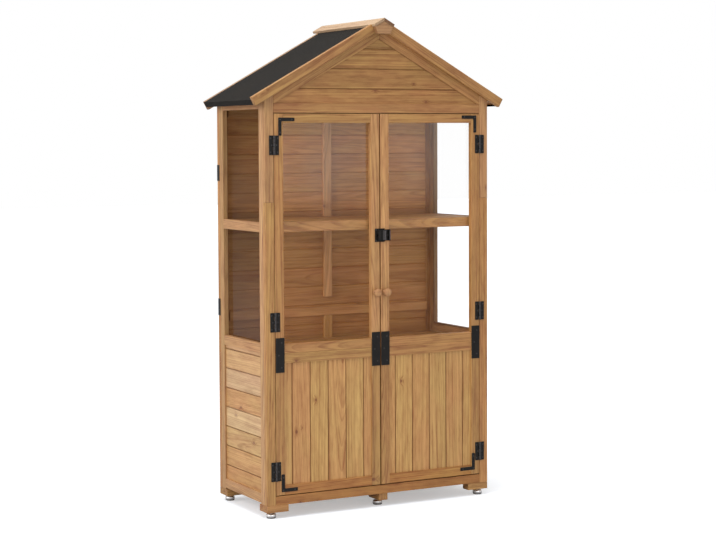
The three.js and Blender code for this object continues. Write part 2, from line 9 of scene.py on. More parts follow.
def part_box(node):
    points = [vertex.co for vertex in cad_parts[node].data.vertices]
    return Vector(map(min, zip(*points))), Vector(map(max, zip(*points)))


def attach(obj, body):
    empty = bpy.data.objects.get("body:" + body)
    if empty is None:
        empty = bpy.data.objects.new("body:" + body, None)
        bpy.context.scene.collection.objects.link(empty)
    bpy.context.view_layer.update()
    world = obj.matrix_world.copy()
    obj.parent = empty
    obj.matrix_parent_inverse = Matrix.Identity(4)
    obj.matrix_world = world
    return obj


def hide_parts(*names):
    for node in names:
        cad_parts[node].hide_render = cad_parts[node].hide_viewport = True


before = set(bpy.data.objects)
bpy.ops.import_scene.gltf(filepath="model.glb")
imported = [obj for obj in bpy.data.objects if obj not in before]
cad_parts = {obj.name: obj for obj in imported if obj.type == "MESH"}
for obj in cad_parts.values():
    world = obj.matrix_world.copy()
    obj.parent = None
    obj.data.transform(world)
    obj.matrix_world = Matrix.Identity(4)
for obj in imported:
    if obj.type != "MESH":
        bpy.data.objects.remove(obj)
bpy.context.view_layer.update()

# Everything is in metres. X runs across the front, Y from front to back and Z up.
X, Y, Z = 0, 1, 2
AXES = (Vector((1, 0, 0)), Vector((0, 1, 0)), Vector((0, 0, 1)))
FORWARD = Vector((0, -1, 0))
SIDES = {"left": -1, "right": 1}
ENDS = {"front": -1, "rear": 1}

# Camera, at the photograph's place
CAMERA_PLACE = (-3.3226, -6.1602, 1.4543)
CAMERA_LENS = 86.98
CAMERA_YAW = math.radians(-27.985)
CAMERA_TILT = math.radians(86.876)
CAMERA_ROLL = math.radians(-0.282)
CAMERA_SHIFT = (0.0215, -0.0493)

# Lamps, each as its place, size and power, and the soft light all round
LAMPS = {
    "left": ((-4.5, -0.8, 2.5), 2.4, 118),
    "front": ((-0.4, -4.8, 1.2), 2.6, 40),
    "top": ((-0.9, -0.9, 4.6), 2.6, 96),
}
LAMP_AIM = (0, 0, 0.95)
SOFT_LIGHT = 0.55
WHITE = (1, 1, 1, 1)

# Floor, and its own light: from one level to another between two distances from the shadow
FLOOR_REACH = 30
SHADOW_CENTRE = (-0.22, -0.32, 0.0)
NEAR_GLOW = (0.5, 1.2, 0.39, 0.62)
FAR_GLOW = (1.4, 6.0, 0.0, 0.13)

# Timber
HALF_SEAM = 0.00015
MEMBER_GAP = 0.0004
TIMBER_ARRIS = 0.0011
FRAME_THICKNESS = 0.020
RAIL_WIDTH = 0.038
POST_WIDTH = 0.0375
POST_JOINT_RISE = 0.077
POST_STEP = 0.0007
RAKE_WIDTH = 0.046
SIDE_RAIL_LIFT = 0.005
SHELF_DROP = 0.001
ARRIS_TURN = math.radians(25)

# Boards, and the width of the first one in each row
BOARD_PITCH = 0.0784
BOARD_THICKNESS = 0.012
LEAST_BOARD = 0.015
BOARD_GAP = 0.0016
BOARD_CHAMFER = 0.0022
TONGUE_LENGTH = 0.004
TONGUE_THICKNESS = 0.003
TONGUE_ROOM = 0.0003
GABLE_BOARD_STEP = 0.005
SIDE_FIRST_BOARD = 0.057
GABLE_FIRST_BOARD = 0.056
BACK_FIRST_BOARD = 0.054
DOOR_FIRST_BOARD = {"left": 0.034, "right": 0.030}

# Back battens
BATTEN_WIDTH = 0.036
BATTEN_OFFSET = 0.015
LOW_BATTEN_RISE = 0.053
BATTEN_BREAK = 0.041
HEAD_BATTEN_DROP = 0.012

# Doors, and the strip that they close against
DOOR_TOP_RAIL = 0.035
DOOR_SILL_RAIL = 0.036
DOOR_LOWER_RAIL = 0.038
STOP_INSET = 0.0175
STOP_DEPTH = 0.010
STOP_LAP = 0.007

# Shelves and floor
SLAT_COUNT = 5
SLAT_GAP = 0.010
SLAT_THICKNESS = 0.012
SHELF_BEARER = 0.024
FLOOR_BEARER = 0.038

# Roof
ROOF_PITCH = math.radians(29)
PITCH_SIN = math.sin(ROOF_PITCH)
PITCH_COS = math.cos(ROOF_PITCH)
PITCH_TAN = math.tan(ROOF_PITCH)
CAP_THICKNESS = 0.011
CAP_HALF_WIDTH = 0.046
FELT_THICKNESS = 0.002
FELT_DROP = 0.022
FELT_REAR_GAP = 0.003
DECK_THICKNESS = 0.012
BARGE_WIDTH = 0.0375
BARGE_ARRIS = 0.0026
APEX_FOOT = 0.0285

# Feet
FOOT_INNER_DEPTH = 0.043
MIDDLE_GLIDE_SETBACK = 0.050
GLIDE_HEIGHT = 0.025
GLIDE_INSET = 0.030
GLIDE_RIM = 0.0015
PAD_RADIUS = 0.018
PAD_HEIGHT = 0.005
CUP_RADIUS = 0.019
CUP_HEIGHT = 0.013
STEM_RADIUS = 0.005

# Hinges
HINGE_KNUCKLES = 5
HINGE_KNUCKLE_GAP = 0.0004
BARREL_RADIUS = 0.004
BARREL_CLEARANCE = 0.0003
BARREL_EDGE = 0.0004
LEAF_GAP = 0.0045
LEAF_THICKNESS = 0.0023
LEAF_CORNER = 0.002
DOOR_HINGE_GAP = 0.002

# Plates, braces and screws
PLATE_EDGE = 0.0004
PLATE_CORNER = 0.002
BRACE_LEG = 0.069
BRACE_WIDTH = 0.0138
BRACE_THICKNESS = 0.002
BRACE_CORNER = 0.003
BRACE_HOLE_SHARE = 0.82
BRACE_INSETS = {
    "left_top": (0.0175, 0.015),
    "left_bottom": (0.022, 0.012),
    "right_top": (0.0135, 0.005),
    "right_bottom": (0.022, 0.018),
}
SIDE_PLATE_LEVELS = ((0.752, 0.820), (1.294, 1.358))
SIDE_PLATE_WIDTH = 0.020
SIDE_PLATE_INSET = 0.001
SIDE_SCREW_SHARES = (0.22, 0.78)
SCREW_ROW_SHARES = (0.14, 0.5, 0.86)
SCREW_SWAY = 1 / 6
SCREW_RADIUS = 0.0034
SCREW_RISE = 0.0007
SCREW_SHOULDER = 0.0005
SCREW_ARM = 0.0019
SCREW_SLOT = 0.0005
SCREW_SINK = 0.0001
SCREW_SIDES = 20

# Latch
LATCH_PLATE = 0.0023
LATCH_SCREW_INSET = 0.0045
LATCH_SCREW_X = 0.0275
RIB_SPANS = ((0.0085, 0.0115), (0.0160, 0.0188), (0.0362, 0.0388))
RIB_INSET = 0.0075
RIB_CORNER = 0.0012
RIB_RISE = 0.0006

# Knobs
KNOB_RADIUS = 0.017
KNOB_COLLAR = 0.0115
KNOB_COLLAR_SIDE = 0.0018
KNOB_COLLAR_LENGTH = 0.003
KNOB_EASE = 0.001
KNOB_NECK = 0.009
KNOB_NECK_LENGTH = 0.009
KNOB_WAIST = 0.00855
KNOB_WAIST_LEVEL = 0.0072
KNOB_STEPS = 18

# Panes: the film and the gloss change between two heights, and a dark painted shade tint, which
# stands in for the shade inside, is on a side pane's outer side
PANE_LAP = 0.006
PANE_EDGE = 0.0003
OUTER_LIMIT = 0.1
VEIL_LEVELS = (0.95, 1.45)
GLOSS_LEVELS = (0.74, 1.0)
PAINTED_SHADE_TINT_LEVEL = 0.5
SIDE_PANE_FILM = 0.1
DOOR_PANE_FILM = 1.6

# How strong the painted highlight is on a metal piece's coating
EDGE_PAINTED_HIGHLIGHT = 0.2
BARREL_PAINTED_HIGHLIGHT = 0.2
SCREW_PAINTED_HIGHLIGHT = 0.16
RIB_PAINTED_HIGHLIGHT = 0.72

# How light the ends of timber are, how dark the painted shade in grooves is, how light the painted
# highlight on top edges is, and the painted shade on the back's inner face below the upper shelf
END_SHADE = 0.72
GROOVE_PAINTED_SHADE = 0.56
INSIDE_GROOVE_PAINTED_SHADE = 0.96
ARRIS_PAINTED_HIGHLIGHT = 1.3
PAINTED_DUSK_SHADE = 0.74

# How squarely a face of timber looks along its board, along its grain and up
BROAD_LIMIT = 0.95
END_LIMIT = 0.6
UP_LIMIT = 0.3

# Grain: how far the heart runs beside a piece and leans, and how much pieces differ
HEART_AWAY = (0.05, 0.13)
HEART_LEAN = 0.03
GRAIN_STARTS = (0, 40)
WARMTH = 0.45
WARMTH_SPREAD = 0.4
LEVEL_SPREAD = (0.93, 1.06)

# Wood, with its rings, bands and knot cells counted for a metre
RINGS = 290.0
RING_BANDS = 150.0
KNOT_CELLS = 4.6
KNOT_RINGS = 700.0
KNOT_RADII = (0.0035, 0.0085)
KNOT_BEND = 0.006
HEART_SWAY = 0.014
OLIVE = (0.98, 1.0, 0.88, 1.0)
BLUSH = (1.0, 0.87, 0.84, 1.0)
# Warm tint that darkened faces mix towards: painted shade with bounce light in it, also used for
# darker end grain
END_AND_PAINTED_SHADE_TINT = (0.30, 0.17, 0.09, 1.0)

# How deep the relief of each surface is
WOOD_RELIEF = 0.00018
FELT_RELIEF = 0.0009
COATING_RELIEF = 0.00012

# The clearest knots, each as its place across or along, its level and its radius
NO_KNOT = ((0.0, 0.0, 0.0), 0.00001)
KNOT_DEPTH = 0.001
KNOTS = {
    "left_door_board_3": (-0.285, 0.448, 0.0042),
    "left_door_board_2": (-0.370, 0.330, 0.0050),
    "right_door_board_2": (0.096, 0.495, 0.0044),
    "left_side_board_3": (-0.091, 0.278, 0.0050),
    "left_side_board_4": (0.076, 0.365, 0.0042),
    "gable_board_4": (0.012, 1.764, 0.0050),
    "gable_board_2": (0.158, 1.677, 0.0030),
    "gable_board_1": (0.214, 1.605, 0.0038),
    "right_front_post_upper": (0.493, 1.260, 0.0030),
}

# How light, warm and pale some pieces are (the pale share is partly painted sheen), and how light
# their ends and grooves are (the grooves' darkening is painted shade)
LOOKS = {
    # The side's stiles and rails are paler, partly a painted sheen
    "side_front_stile": {"pale_tone_and_painted_sheen": 0.14},
    "side_rear_stile": {"level": 0.89, "pale_tone_and_painted_sheen": 0.1},
    "side_rail": {"level": 0.94, "pale_tone_and_painted_sheen": 0.1},
    "left_lower_post": {"level": 1.0},
    "right_lower_post": {"level": 1.12},
    "upper_post": {"level": 0.98, "pale_tone_and_painted_sheen": 0.08},
    "front_bottom_rail": {"level": 0.93, "warmth": 0.9, "pale_tone_and_painted_sheen": -0.07},
    "front_header_rail": {"level": 0.91, "warmth": 0.7},
    "gable_board": {"level": 0.9, "warmth": 0.3, "pale_tone_and_painted_sheen": -0.02, "groove": 0.7},
    "back_board": {"level": 1.03, "warmth": 0.55, "groove": INSIDE_GROOVE_PAINTED_SHADE},
    "low_batten": {"warmth": 0.3, "pale_tone_and_painted_sheen": 0.04},
    "head_batten": {"warmth": 0.3, "pale_tone_and_painted_sheen": 0.04},
    "lower_upright": {"level": 1.03, "warmth": 0.2, "pale_tone_and_painted_sheen": 0.03},
    # Painted reflection: the upper upright is paler
    "upper_upright": {"level": 1.09, "warmth": 0.2, "pale_tone_and_painted_sheen": 0.14},
    "shelf_front_rail": {"level": 1.04, "warmth": 0.6},
    "slat": {"level": 1.14},
    "front_barge": {"level": 0.86},
    "rear_barge": {"level": 0.72, "pale_tone_and_painted_sheen": 0.3, "end": 0.3},
    "left_cap": {"level": 0.78, "pale_tone_and_painted_sheen": 0.5},
    "right_cap": {"level": 0.78, "pale_tone_and_painted_sheen": 0.3, "end": 0.1},
    "apex": {"level": 0.8, "warmth": 0.9, "pale_tone_and_painted_sheen": 0.12},
    "door_low_rail": {"level": 0.98, "warmth": 0.8, "pale_tone_and_painted_sheen": -0.07},
    "meeting_stile": {"level": 1.18, "pale_tone_and_painted_sheen": 0.06},
    "door_stop": {"pale_tone_and_painted_sheen": 0.1},
    "knob": {"warmth": 1.0, "pale_tone_and_painted_sheen": 0.08},
}

# The same for the boards of a row, one after the other
SIDE_BOARD_LOOKS = {
    "level": (0.9, 0.91, 0.94, 0.96, 0.9, 0.97, 0.96, 0.98),
    "warmth": (0.6, 0.2, 0.3, 0.15, 0.75, 0.5, 0.05, 0.6),
    # The side boards' pale share is partly painted sheen
    "pale_tone_and_painted_sheen": (0.0, 0.04, 0.12, 0.3, 0.06, 0.32, 0.16, 0.2),
}
DOOR_BOARD_LOOKS = {
    "left": {"warmth": (0.1, 0.75, 0.0, 0.9, 0.2, 0.5)},
    "right": {"level": (1.04,), "warmth": (0.5, 0.2, 0.8, 0.1, 0.6, 0.3)},
}

scene = bpy.context.scene


# Camera

def add_camera():
    data = bpy.data.cameras.new("camera")
    data.lens = CAMERA_LENS
    data.shift_x, data.shift_y = CAMERA_SHIFT
    camera = bpy.data.objects.new("camera", data)
    turn = (
        Matrix.Rotation(CAMERA_YAW, 3, "Z")
        @ Matrix.Rotation(CAMERA_TILT, 3, "X")
        @ Matrix.Rotation(CAMERA_ROLL, 3, "Z")
    )
    camera.location = CAMERA_PLACE
    camera.rotation_euler = turn.to_euler()
    scene.collection.objects.link(camera)
    scene.camera = camera


add_camera()


# Places from the frame

def low(node):
    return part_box(node)[0]


def high(node):
    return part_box(node)[1]


def spans(node):
    """A node's lowest and highest place on X, on Y and on Z."""
    return tuple(zip(*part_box(node)))


def reach(node):
    """How far a node goes to the side from the cabinet's middle."""
    return max(map(abs, spans(node)[X]))


def outward(span, side):
    """A span's ends in the direction of a side: the inner one first, then the outer one."""
    return span[::side]


def between(span, share):
    return span[0] + (span[1] - span[0]) * share


RIDGE_TOP = high("ridge_cap").z + HALF_SEAM / PITCH_COS
ROOF_UNDER = high("front_gable_panel").z
FRONT_FACE = low("left_door_upper_frame").y


# Shader building

class Shader:
    """A material or a world, whose nodes are added one by one."""

    def __init__(self, owner, surface="Principled BSDF"):
        owner.use_nodes = True
        self.owner = owner
        self.nodes = owner.node_tree.nodes
        self.links = owner.node_tree.links
        self.surface = self.nodes[surface]

    def feed(self, node, inputs):
        """Gives a node's inputs, by name or number, a value or another node's socket."""
        for name, value in inputs.items():
            if isinstance(value, bpy.types.NodeSocket):
                self.links.new(value, node.inputs[name])
            else:
                node.inputs[name].default_value = value

    def finished(self, inputs):
        self.feed(self.surface, inputs)
        return self.owner

    def add(self, kind, inputs=None, **settings):
        node = self.nodes.new("ShaderNode" + kind)
        for setting, value in settings.items():
            setattr(node, setting, value)
        self.feed(node, inputs or {})
        return node.outputs

    def position(self):
        return self.add("NewGeometry")["Position"]

    def attribute(self, name, output="Fac"):
        return self.add("Attribute", attribute_name=name)[output]

    def split(self, vector):
        return self.add("SeparateXYZ", {0: vector})

    def math(self, operation, *values, clamp=False):
        return self.add("Math", dict(enumerate(values)), operation=operation, use_clamp=clamp)[0]

    def plus(self, first, second, clamp=False):
        return self.math("ADD", first, second, clamp=clamp)

    def minus(self, first, second):
        return self.math("SUBTRACT", first, second)

    def times(self, first, second):
        return self.math("MULTIPLY", first, second)

    def vector(self, operation, *values):
        outputs = self.add("VectorMath", dict(enumerate(values)), operation=operation)
        return outputs["Value" if operation == "LENGTH" else "Vector"]

    def scaled(self, vector, factors):
        return self.vector("MULTIPLY", vector, factors)

    def noise(self, vector, scale=1.0, detail=2.0, roughness=0.5):
        inputs = {"Vector": vector, "Scale": scale, "Detail": detail, "Roughness": roughness}
        return self.add("TexNoise", inputs)["Fac"]

    def spread(self, value, from_low, from_high, to_low=0.0, to_high=1.0, smooth=False):
        names = ("Value", "From Min", "From Max", "To Min", "To Max")
        inputs = dict(zip(names, (value, from_low, from_high, to_low, to_high)))
        kind = "SMOOTHSTEP" if smooth else "LINEAR"
        return self.add("MapRange", inputs, interpolation_type=kind)["Result"]

    def mix(self, factor, first, second, blend="MIX", clamp=True):
        inputs = {"Factor": factor, 6: first, 7: second}
        settings = {"data_type": "RGBA", "blend_type": blend, "clamp_factor": clamp}
        return self.add("Mix", inputs, **settings)[2]

    def tinted(self, first, second):
        return self.mix(1.0, first, second, blend="MULTIPLY")

    def bump(self, height, depth):
        return self.add("Bump", {"Distance": depth, "Height": height})["Normal"]


def linear(red, green, blue):
    """A colour given as it looks on a screen, from 0 to 255, as linear light."""
    def one(value):
        share = value / 255
        return share / 12.92 if share <= 0.04045 else ((share + 0.055) / 1.055) ** 2.4

    return (one(red), one(green), one(blue), 1.0)


# Materials

def wood(name, early, late, knot_share):
    """Rings round a heart that runs beside each piece, fibres along it, and a few knots."""
    shader = Shader(bpy.data.materials.new(name))
    grain = shader.attribute("grain", "Vector")
    place = shader.split(grain)
    tint = shader.split(shader.attribute("tint", "Vector"))

    def noise(along, across, **settings):
        return shader.noise(shader.scaled(grain, (along, across, across)), **settings)

    def knot_parts(away, radius):
        ratio = shader.math("DIVIDE", away, radius)
        core = shader.spread(ratio, 1.25, 0.75, smooth=True)
        return core, shader.spread(ratio, 4.5, 0.8, smooth=True)

    # Knots by chance, in cells of the grain unrolled round its heart, and the piece's own knot
    across = shader.vector("LENGTH", shader.scaled(grain, (0.0, 1.0, 1.0)))
    turn = shader.math("ARCTAN2", place["Z"], place["Y"])
    unrolled = shader.add("CombineXYZ", {0: place["X"], 1: shader.times(turn, across)})[0]
    cell_inputs = {"Vector": unrolled, "Scale": KNOT_CELLS}
    cells = shader.add("TexVoronoi", cell_inputs, voronoi_dimensions="2D")
    chance = shader.add("SeparateColor", {0: cells["Color"]})
    present = shader.math("LESS_THAN", chance[0], knot_share)
    away = shader.math("DIVIDE", cells["Distance"], KNOT_CELLS)
    core, halo = knot_parts(away, shader.spread(chance[1], 0.0, 1.0, *KNOT_RADII))
    own = shader.vector("SUBTRACT", grain, shader.attribute("knot", "Vector"))
    own_away = shader.vector("LENGTH", shader.scaled(own, (0.7, 1.0, 1.0)))
    own_core, own_halo = knot_parts(own_away, shader.attribute("knot_radius"))
    knot = shader.math("MAXIMUM", shader.times(present, core), own_core)
    halo = shader.math("MAXIMUM", shader.times(present, halo), own_halo)
    away = shader.math("MINIMUM", away, own_away)

    # Rings, which sway and bend round the knots
    sway = shader.times(shader.minus(noise(1.6, 9.0), 0.5), HEART_SWAY)
    heart = shader.plus(shader.plus(across, sway), shader.times(halo, KNOT_BEND))
    band_inputs = {"W": shader.times(heart, RING_BANDS), "Scale": 1.0, "Detail": 3.0}
    bands = shader.add("TexNoise", band_inputs, noise_dimensions="1D")["Fac"]
    saw = shader.math("FRACT", shader.plus(shader.times(heart, RINGS), shader.times(bands, 2.2)))
    rise = shader.spread(saw, 0.35, 0.9, smooth=True)
    late_line = shader.times(rise, shader.spread(saw, 1.0, 0.93, smooth=True))

    # How dark the wood is
    fibre = noise(7.0, 420.0, detail=3.0, roughness=0.6)
    streak = noise(2.2, 75.0, detail=3.0, roughness=0.55)
    blotch = noise(13.0, 62.0, detail=4.0, roughness=0.6)
    dark = shader.times(late_line, 0.28)
    for mark, *limits in (
        (blotch, 0.42, 0.72, 0.0, 0.3),
        (streak, 0.32, 0.7, 0.0, 0.3),
        (fibre, 0.35, 0.7, 0.0, 0.22),
        (bands, 0.4, 0.75, 0.0, 0.2),
    ):
        dark = shader.plus(dark, shader.spread(mark, *limits))
    dark = shader.plus(dark, shader.times(halo, 0.25), clamp=True)

    # Its colour: warm or olive, the knots, the pale share (partly painted sheen), each face's
    # end-grain tone, painted shade and painted highlight, and the piece's level
    colour = shader.mix(dark, early, late)
    cloud = shader.spread(noise(5.0, 16.0), 0.3, 0.7, -0.4, 0.4)
    warmth = shader.plus(tint["Y"], cloud, clamp=True)
    colour = shader.mix(warmth, shader.tinted(colour, OLIVE), shader.tinted(colour, BLUSH))
    knot_rings = shader.math("FRACT", shader.times(away, KNOT_RINGS))
    knot_tone = shader.mix(knot_rings, linear(138, 82, 44), linear(104, 58, 32))
    colour = shader.mix(knot, colour, knot_tone)
    # Pale share: a paler tone, on the side pieces a painted sheen and on the upper upright a
    # painted reflection
    pale_tone_and_painted_sheen = shader.mix(dark, linear(226, 205, 178), linear(172, 146, 118))
    colour = shader.mix(tint["Z"], colour, pale_tone_and_painted_sheen, clamp=False)
    # Each face's end-grain tone, painted shade and painted highlight, mixed with the warm tint
    end_tone_and_painted_light = shader.attribute("end_tone_and_painted_light")
    colour = shader.mix(end_tone_and_painted_light, shader.tinted(colour, END_AND_PAINTED_SHADE_TINT), colour, clamp=False)
    level = shader.add("CombineColor", {0: tint["X"], 1: tint["X"], 2: tint["X"]})[0]
    relief = shader.plus(fibre, shader.times(late_line, 0.4))
    return shader.finished({
        "Base Color": shader.tinted(colour, level),
        "Roughness": shader.spread(dark, 0.0, 1.0, 0.5, 0.66),
        "Specular IOR Level": 0.5,
        "Normal": shader.bump(relief, WOOD_RELIEF),
    })


def clear_sheet():
    """A clear pane with a film that is thinner low down, and a dark brown painted shade tint on a
    side pane's outer face, which stands in for the shade inside.
    """
    shader = Shader(bpy.data.materials.new("clear_pane"))
    place = shader.position()
    height = shader.split(place)["Z"]
    film = shader.noise(shader.scaled(place, (3.0, 3.0, 1.5)), detail=3.0)
    veil = shader.spread(height, *VEIL_LEVELS, 0.25, 1.0, smooth=True)
    haze = shader.times(shader.spread(film, 0.3, 0.7, 0.012, 0.03), veil)
    haze = shader.times(haze, shader.attribute("film"))
    sheen = shader.times(shader.math("POWER", shader.add("LayerWeight")["Facing"], 7.0), 0.25)
    outer = shader.minus(1.0, shader.add("NewGeometry")["Backfacing"])
    # Painted shade: a dark brown cover on the side panes' outer faces stands in for the shade
    # inside the cabinet
    painted_shade_tint = shader.times(shader.attribute("painted_shade_tint"), outer)
    gloss = shader.spread(height, *VEIL_LEVELS, 0.1, 0.0, smooth=True)
    low_gloss = shader.spread(height, *GLOSS_LEVELS, 0.35, 0.0, smooth=True)
    return shader.finished({
        "Base Color": shader.mix(painted_shade_tint, (0.93, 0.95, 0.95, 1.0), linear(38, 22, 9)),
        "Metallic": shader.minus(1.0, painted_shade_tint),
        "Roughness": shader.spread(film, 0.3, 0.7, 0.03, 0.07),
        "Specular IOR Level": shader.plus(gloss, low_gloss),
        "Alpha": shader.plus(shader.plus(sheen, haze), shader.times(painted_shade_tint, PAINTED_SHADE_TINT_LEVEL)),
    })


def felt():
    shader = Shader(bpy.data.materials.new("roof_felt"))
    place = shader.position()
    grit = shader.noise(place, scale=900.0, detail=4.0, roughness=0.7)
    grain = shader.noise(place, scale=260.0, detail=2.0, roughness=0.6)
    patch = shader.noise(place, scale=7.0, detail=3.0)
    tone = shader.mix(shader.spread(grit, 0.35, 0.65), linear(25, 23, 21), linear(44, 41, 38))
    tone = shader.mix(shader.spread(grain, 0.45, 0.7, 0.0, 0.5), tone, linear(58, 54, 50))
    tone = shader.mix(shader.spread(patch, 0.35, 0.7, 0.0, 0.3), tone, linear(27, 28, 30))
    return shader.finished({
        "Base Color": tone,
        "Roughness": shader.spread(grit, 0.2, 0.8, 0.85, 1.0),
        "Specular IOR Level": 0.06,
        "Normal": shader.bump(shader.plus(grit, shader.times(grain, 0.8)), FELT_RELIEF),
    })


def coated_metal():
    """A black coating, with a painted highlight where marked: lighter and smoother there."""
    shader = Shader(bpy.data.materials.new("black_metal"))
    place = shader.position()
    peel = shader.noise(place, scale=1500.0, detail=3.0)
    patch = shader.noise(place, scale=45.0, detail=3.0)
    tone = shader.mix(shader.spread(patch, 0.35, 0.7), linear(17, 14, 11), linear(25, 21, 18))
    # Painted highlight: a lighter grey on marked faces
    painted_highlight = shader.attribute("painted_highlight")
    dull = shader.spread(patch, 0.3, 0.7, 0.42, 0.56)
    return shader.finished({
        "Base Color": shader.mix(painted_highlight, tone, linear(118, 112, 112)),
        "Roughness": shader.minus(dull, shader.times(painted_highlight, 0.2)),
        "Specular IOR Level": 0.2,
        "Normal": shader.bump(peel, COATING_RELIEF),
    })


def zinc():
    shader = Shader(bpy.data.materials.new("glide_steel"))
    patch = shader.noise(shader.position(), scale=160.0, detail=4.0)
    return shader.finished({
        "Base Color": shader.mix(patch, linear(222, 219, 217), linear(240, 237, 235)),
        "Metallic": 1.0,
        "Roughness": shader.spread(patch, 0.3, 0.7, 0.34, 0.5),
    })


def pad_plastic():
    shader = Shader(bpy.data.materials.new("glide_pad"))
    patch = shader.noise(shader.position(), scale=220.0, detail=3.0)
    return shader.finished({
        "Base Color": shader.mix(patch, linear(96, 90, 86), linear(122, 116, 110)),
        "Roughness": shader.spread(patch, 0.3, 0.7, 0.5, 0.68),
    })


MATERIALS = {
    "frame_wood": wood("frame_wood", linear(194, 148, 88), linear(121, 71, 33), knot_share=0.12),
    "board_wood": wood("board_wood", linear(209, 166, 104), linear(143, 91, 45), knot_share=0.18),
    "inside_wood": wood("inside_wood", linear(216, 161, 95), linear(160, 102, 51), knot_share=0.3),
    "clear_pane": clear_sheet(),
    "roof_felt": felt(),
    "black_metal": coated_metal(),
    "glide_steel": zinc(),
    "glide_pad": pad_plastic(),
}


# Outlines and meshes

def rectangle(us, vs):
    return [(us[0], vs[0]), (us[1], vs[0]), (us[1], vs[1]), (us[0], vs[1])]


def rounded(points, radius, steps=4):
    """An outline with its corners rounded off."""
    outline = []
    for number, point in enumerate(points):
        corner = Vector(point)
        before = Vector(points[number - 1]) - corner
        after = Vector(points[(number + 1) % len(points)]) - corner
        inset = radius / math.tan(before.angle(after) / 2)
        start = corner + before.normalized() * inset
        end = corner + after.normalized() * inset
        for step in range(steps + 1):
            share = step / steps
            place = start * (1 - share) ** 2 + corner * 2 * share * (1 - share) + end * share**2
            outline.append(tuple(place))
    return outline


def prism(points, axis, start, end):
    """A prism from start to end along an axis, over points on the two other axes."""
    bm = bmesh.new()

    def corners(level):
        return [bm.verts.new((*point[:axis], level, *point[axis:])) for point in points]

    near, far = corners(start), corners(end)
    bm.faces.new(near)
    bm.faces.new(far)
    for number, corner in enumerate(near):
        following = (number + 1) % len(near)
        bm.faces.new((corner, near[following], far[following], far[number]))
    bmesh.ops.recalc_face_normals(bm, faces=bm.faces)
    return bm


def block(xs, ys, zs):
    return prism(rectangle(ys, zs), X, min(xs), max(xs))


def lathe(profile, centre, sides=40):
    """A solid turned round an upright axis from (radius, level) points."""
    bm = bmesh.new()
    turns = [math.tau * step / sides for step in range(sides)]
    rows = []
    for radius, level in profile:
        ring = [(math.cos(turn), math.sin(turn)) for turn in turns] if radius else [(0, 0)]
        places = [(centre[0] + radius * u, centre[1] + radius * v, level) for u, v in ring]
        rows.append([bm.verts.new(place) for place in places])
    for near, far in zip(rows, rows[1:]):
        for step in range(sides):
            following = (step + 1) % sides
            if len(near) == 1:
                face = bm.faces.new((near[0], far[following], far[step]))
            elif len(far) == 1:
                face = bm.faces.new((near[step], near[following], far[0]))
            else:
                face = bm.faces.new((near[step], near[following], far[following], far[step]))
            face.smooth = True
    bmesh.ops.recalc_face_normals(bm, faces=bm.faces)
    return bm


def cut(bm, point, normal):
    """Cuts off what lies beyond a plane, on the side that its normal points to."""
    everything = bm.verts[:] + bm.edges[:] + bm.faces[:]
    result = bmesh.ops.bisect_plane(
        bm, geom=everything, plane_co=point, plane_no=normal, clear_outer=True
    )
    rim = [item for item in result["geom_cut"] if isinstance(item, bmesh.types.BMEdge)]
    if rim:
        bmesh.ops.edgeloop_fill(bm, edges=rim)
        bmesh.ops.recalc_face_normals(bm, faces=bm.faces)
    return bm


def soften(bm, width, segments=2):
    sharp = [edge for edge in bm.edges if edge.calc_face_angle(0) > ARRIS_TURN]
    result = bmesh.ops.bevel(
        bm, geom=sharp, offset=width, segments=segments, profile=0.5, affect="EDGES"
    )
    for face in result["faces"]:
        face.smooth = True
    return bm


def placed(name, bm, body, slot, node=None):
    """Makes the object, with its finish, on its body, in place of a node where it has one."""
    mesh = bpy.data.meshes.new(name)
    bm.to_mesh(mesh)
    bm.free()
    mesh.materials.append(MATERIALS[slot])
    piece = bpy.data.objects.new(name, mesh)
    scene.collection.objects.link(piece)
    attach(piece, body)
    if node:
        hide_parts(node)
    return piece


def mark(piece, name, values, kind="FLOAT", domain="FACE"):
    """What a shader reads on each face or point: a list of values, or one value for all."""
    field = "value" if kind == "FLOAT" else "vector"
    for number, item in enumerate(piece.data.attributes.new(name, kind, domain).data):
        setattr(item, field, values[number] if isinstance(values, list) else values)


def paint_highlight(piece, level, all_over=False):
    """A painted highlight on the coating of a piece's rounded faces, or all over."""
    faces = piece.data.polygons
    mark(piece, "painted_highlight", [level if all_over or face.use_smooth else 0.0 for face in faces])


# Timber

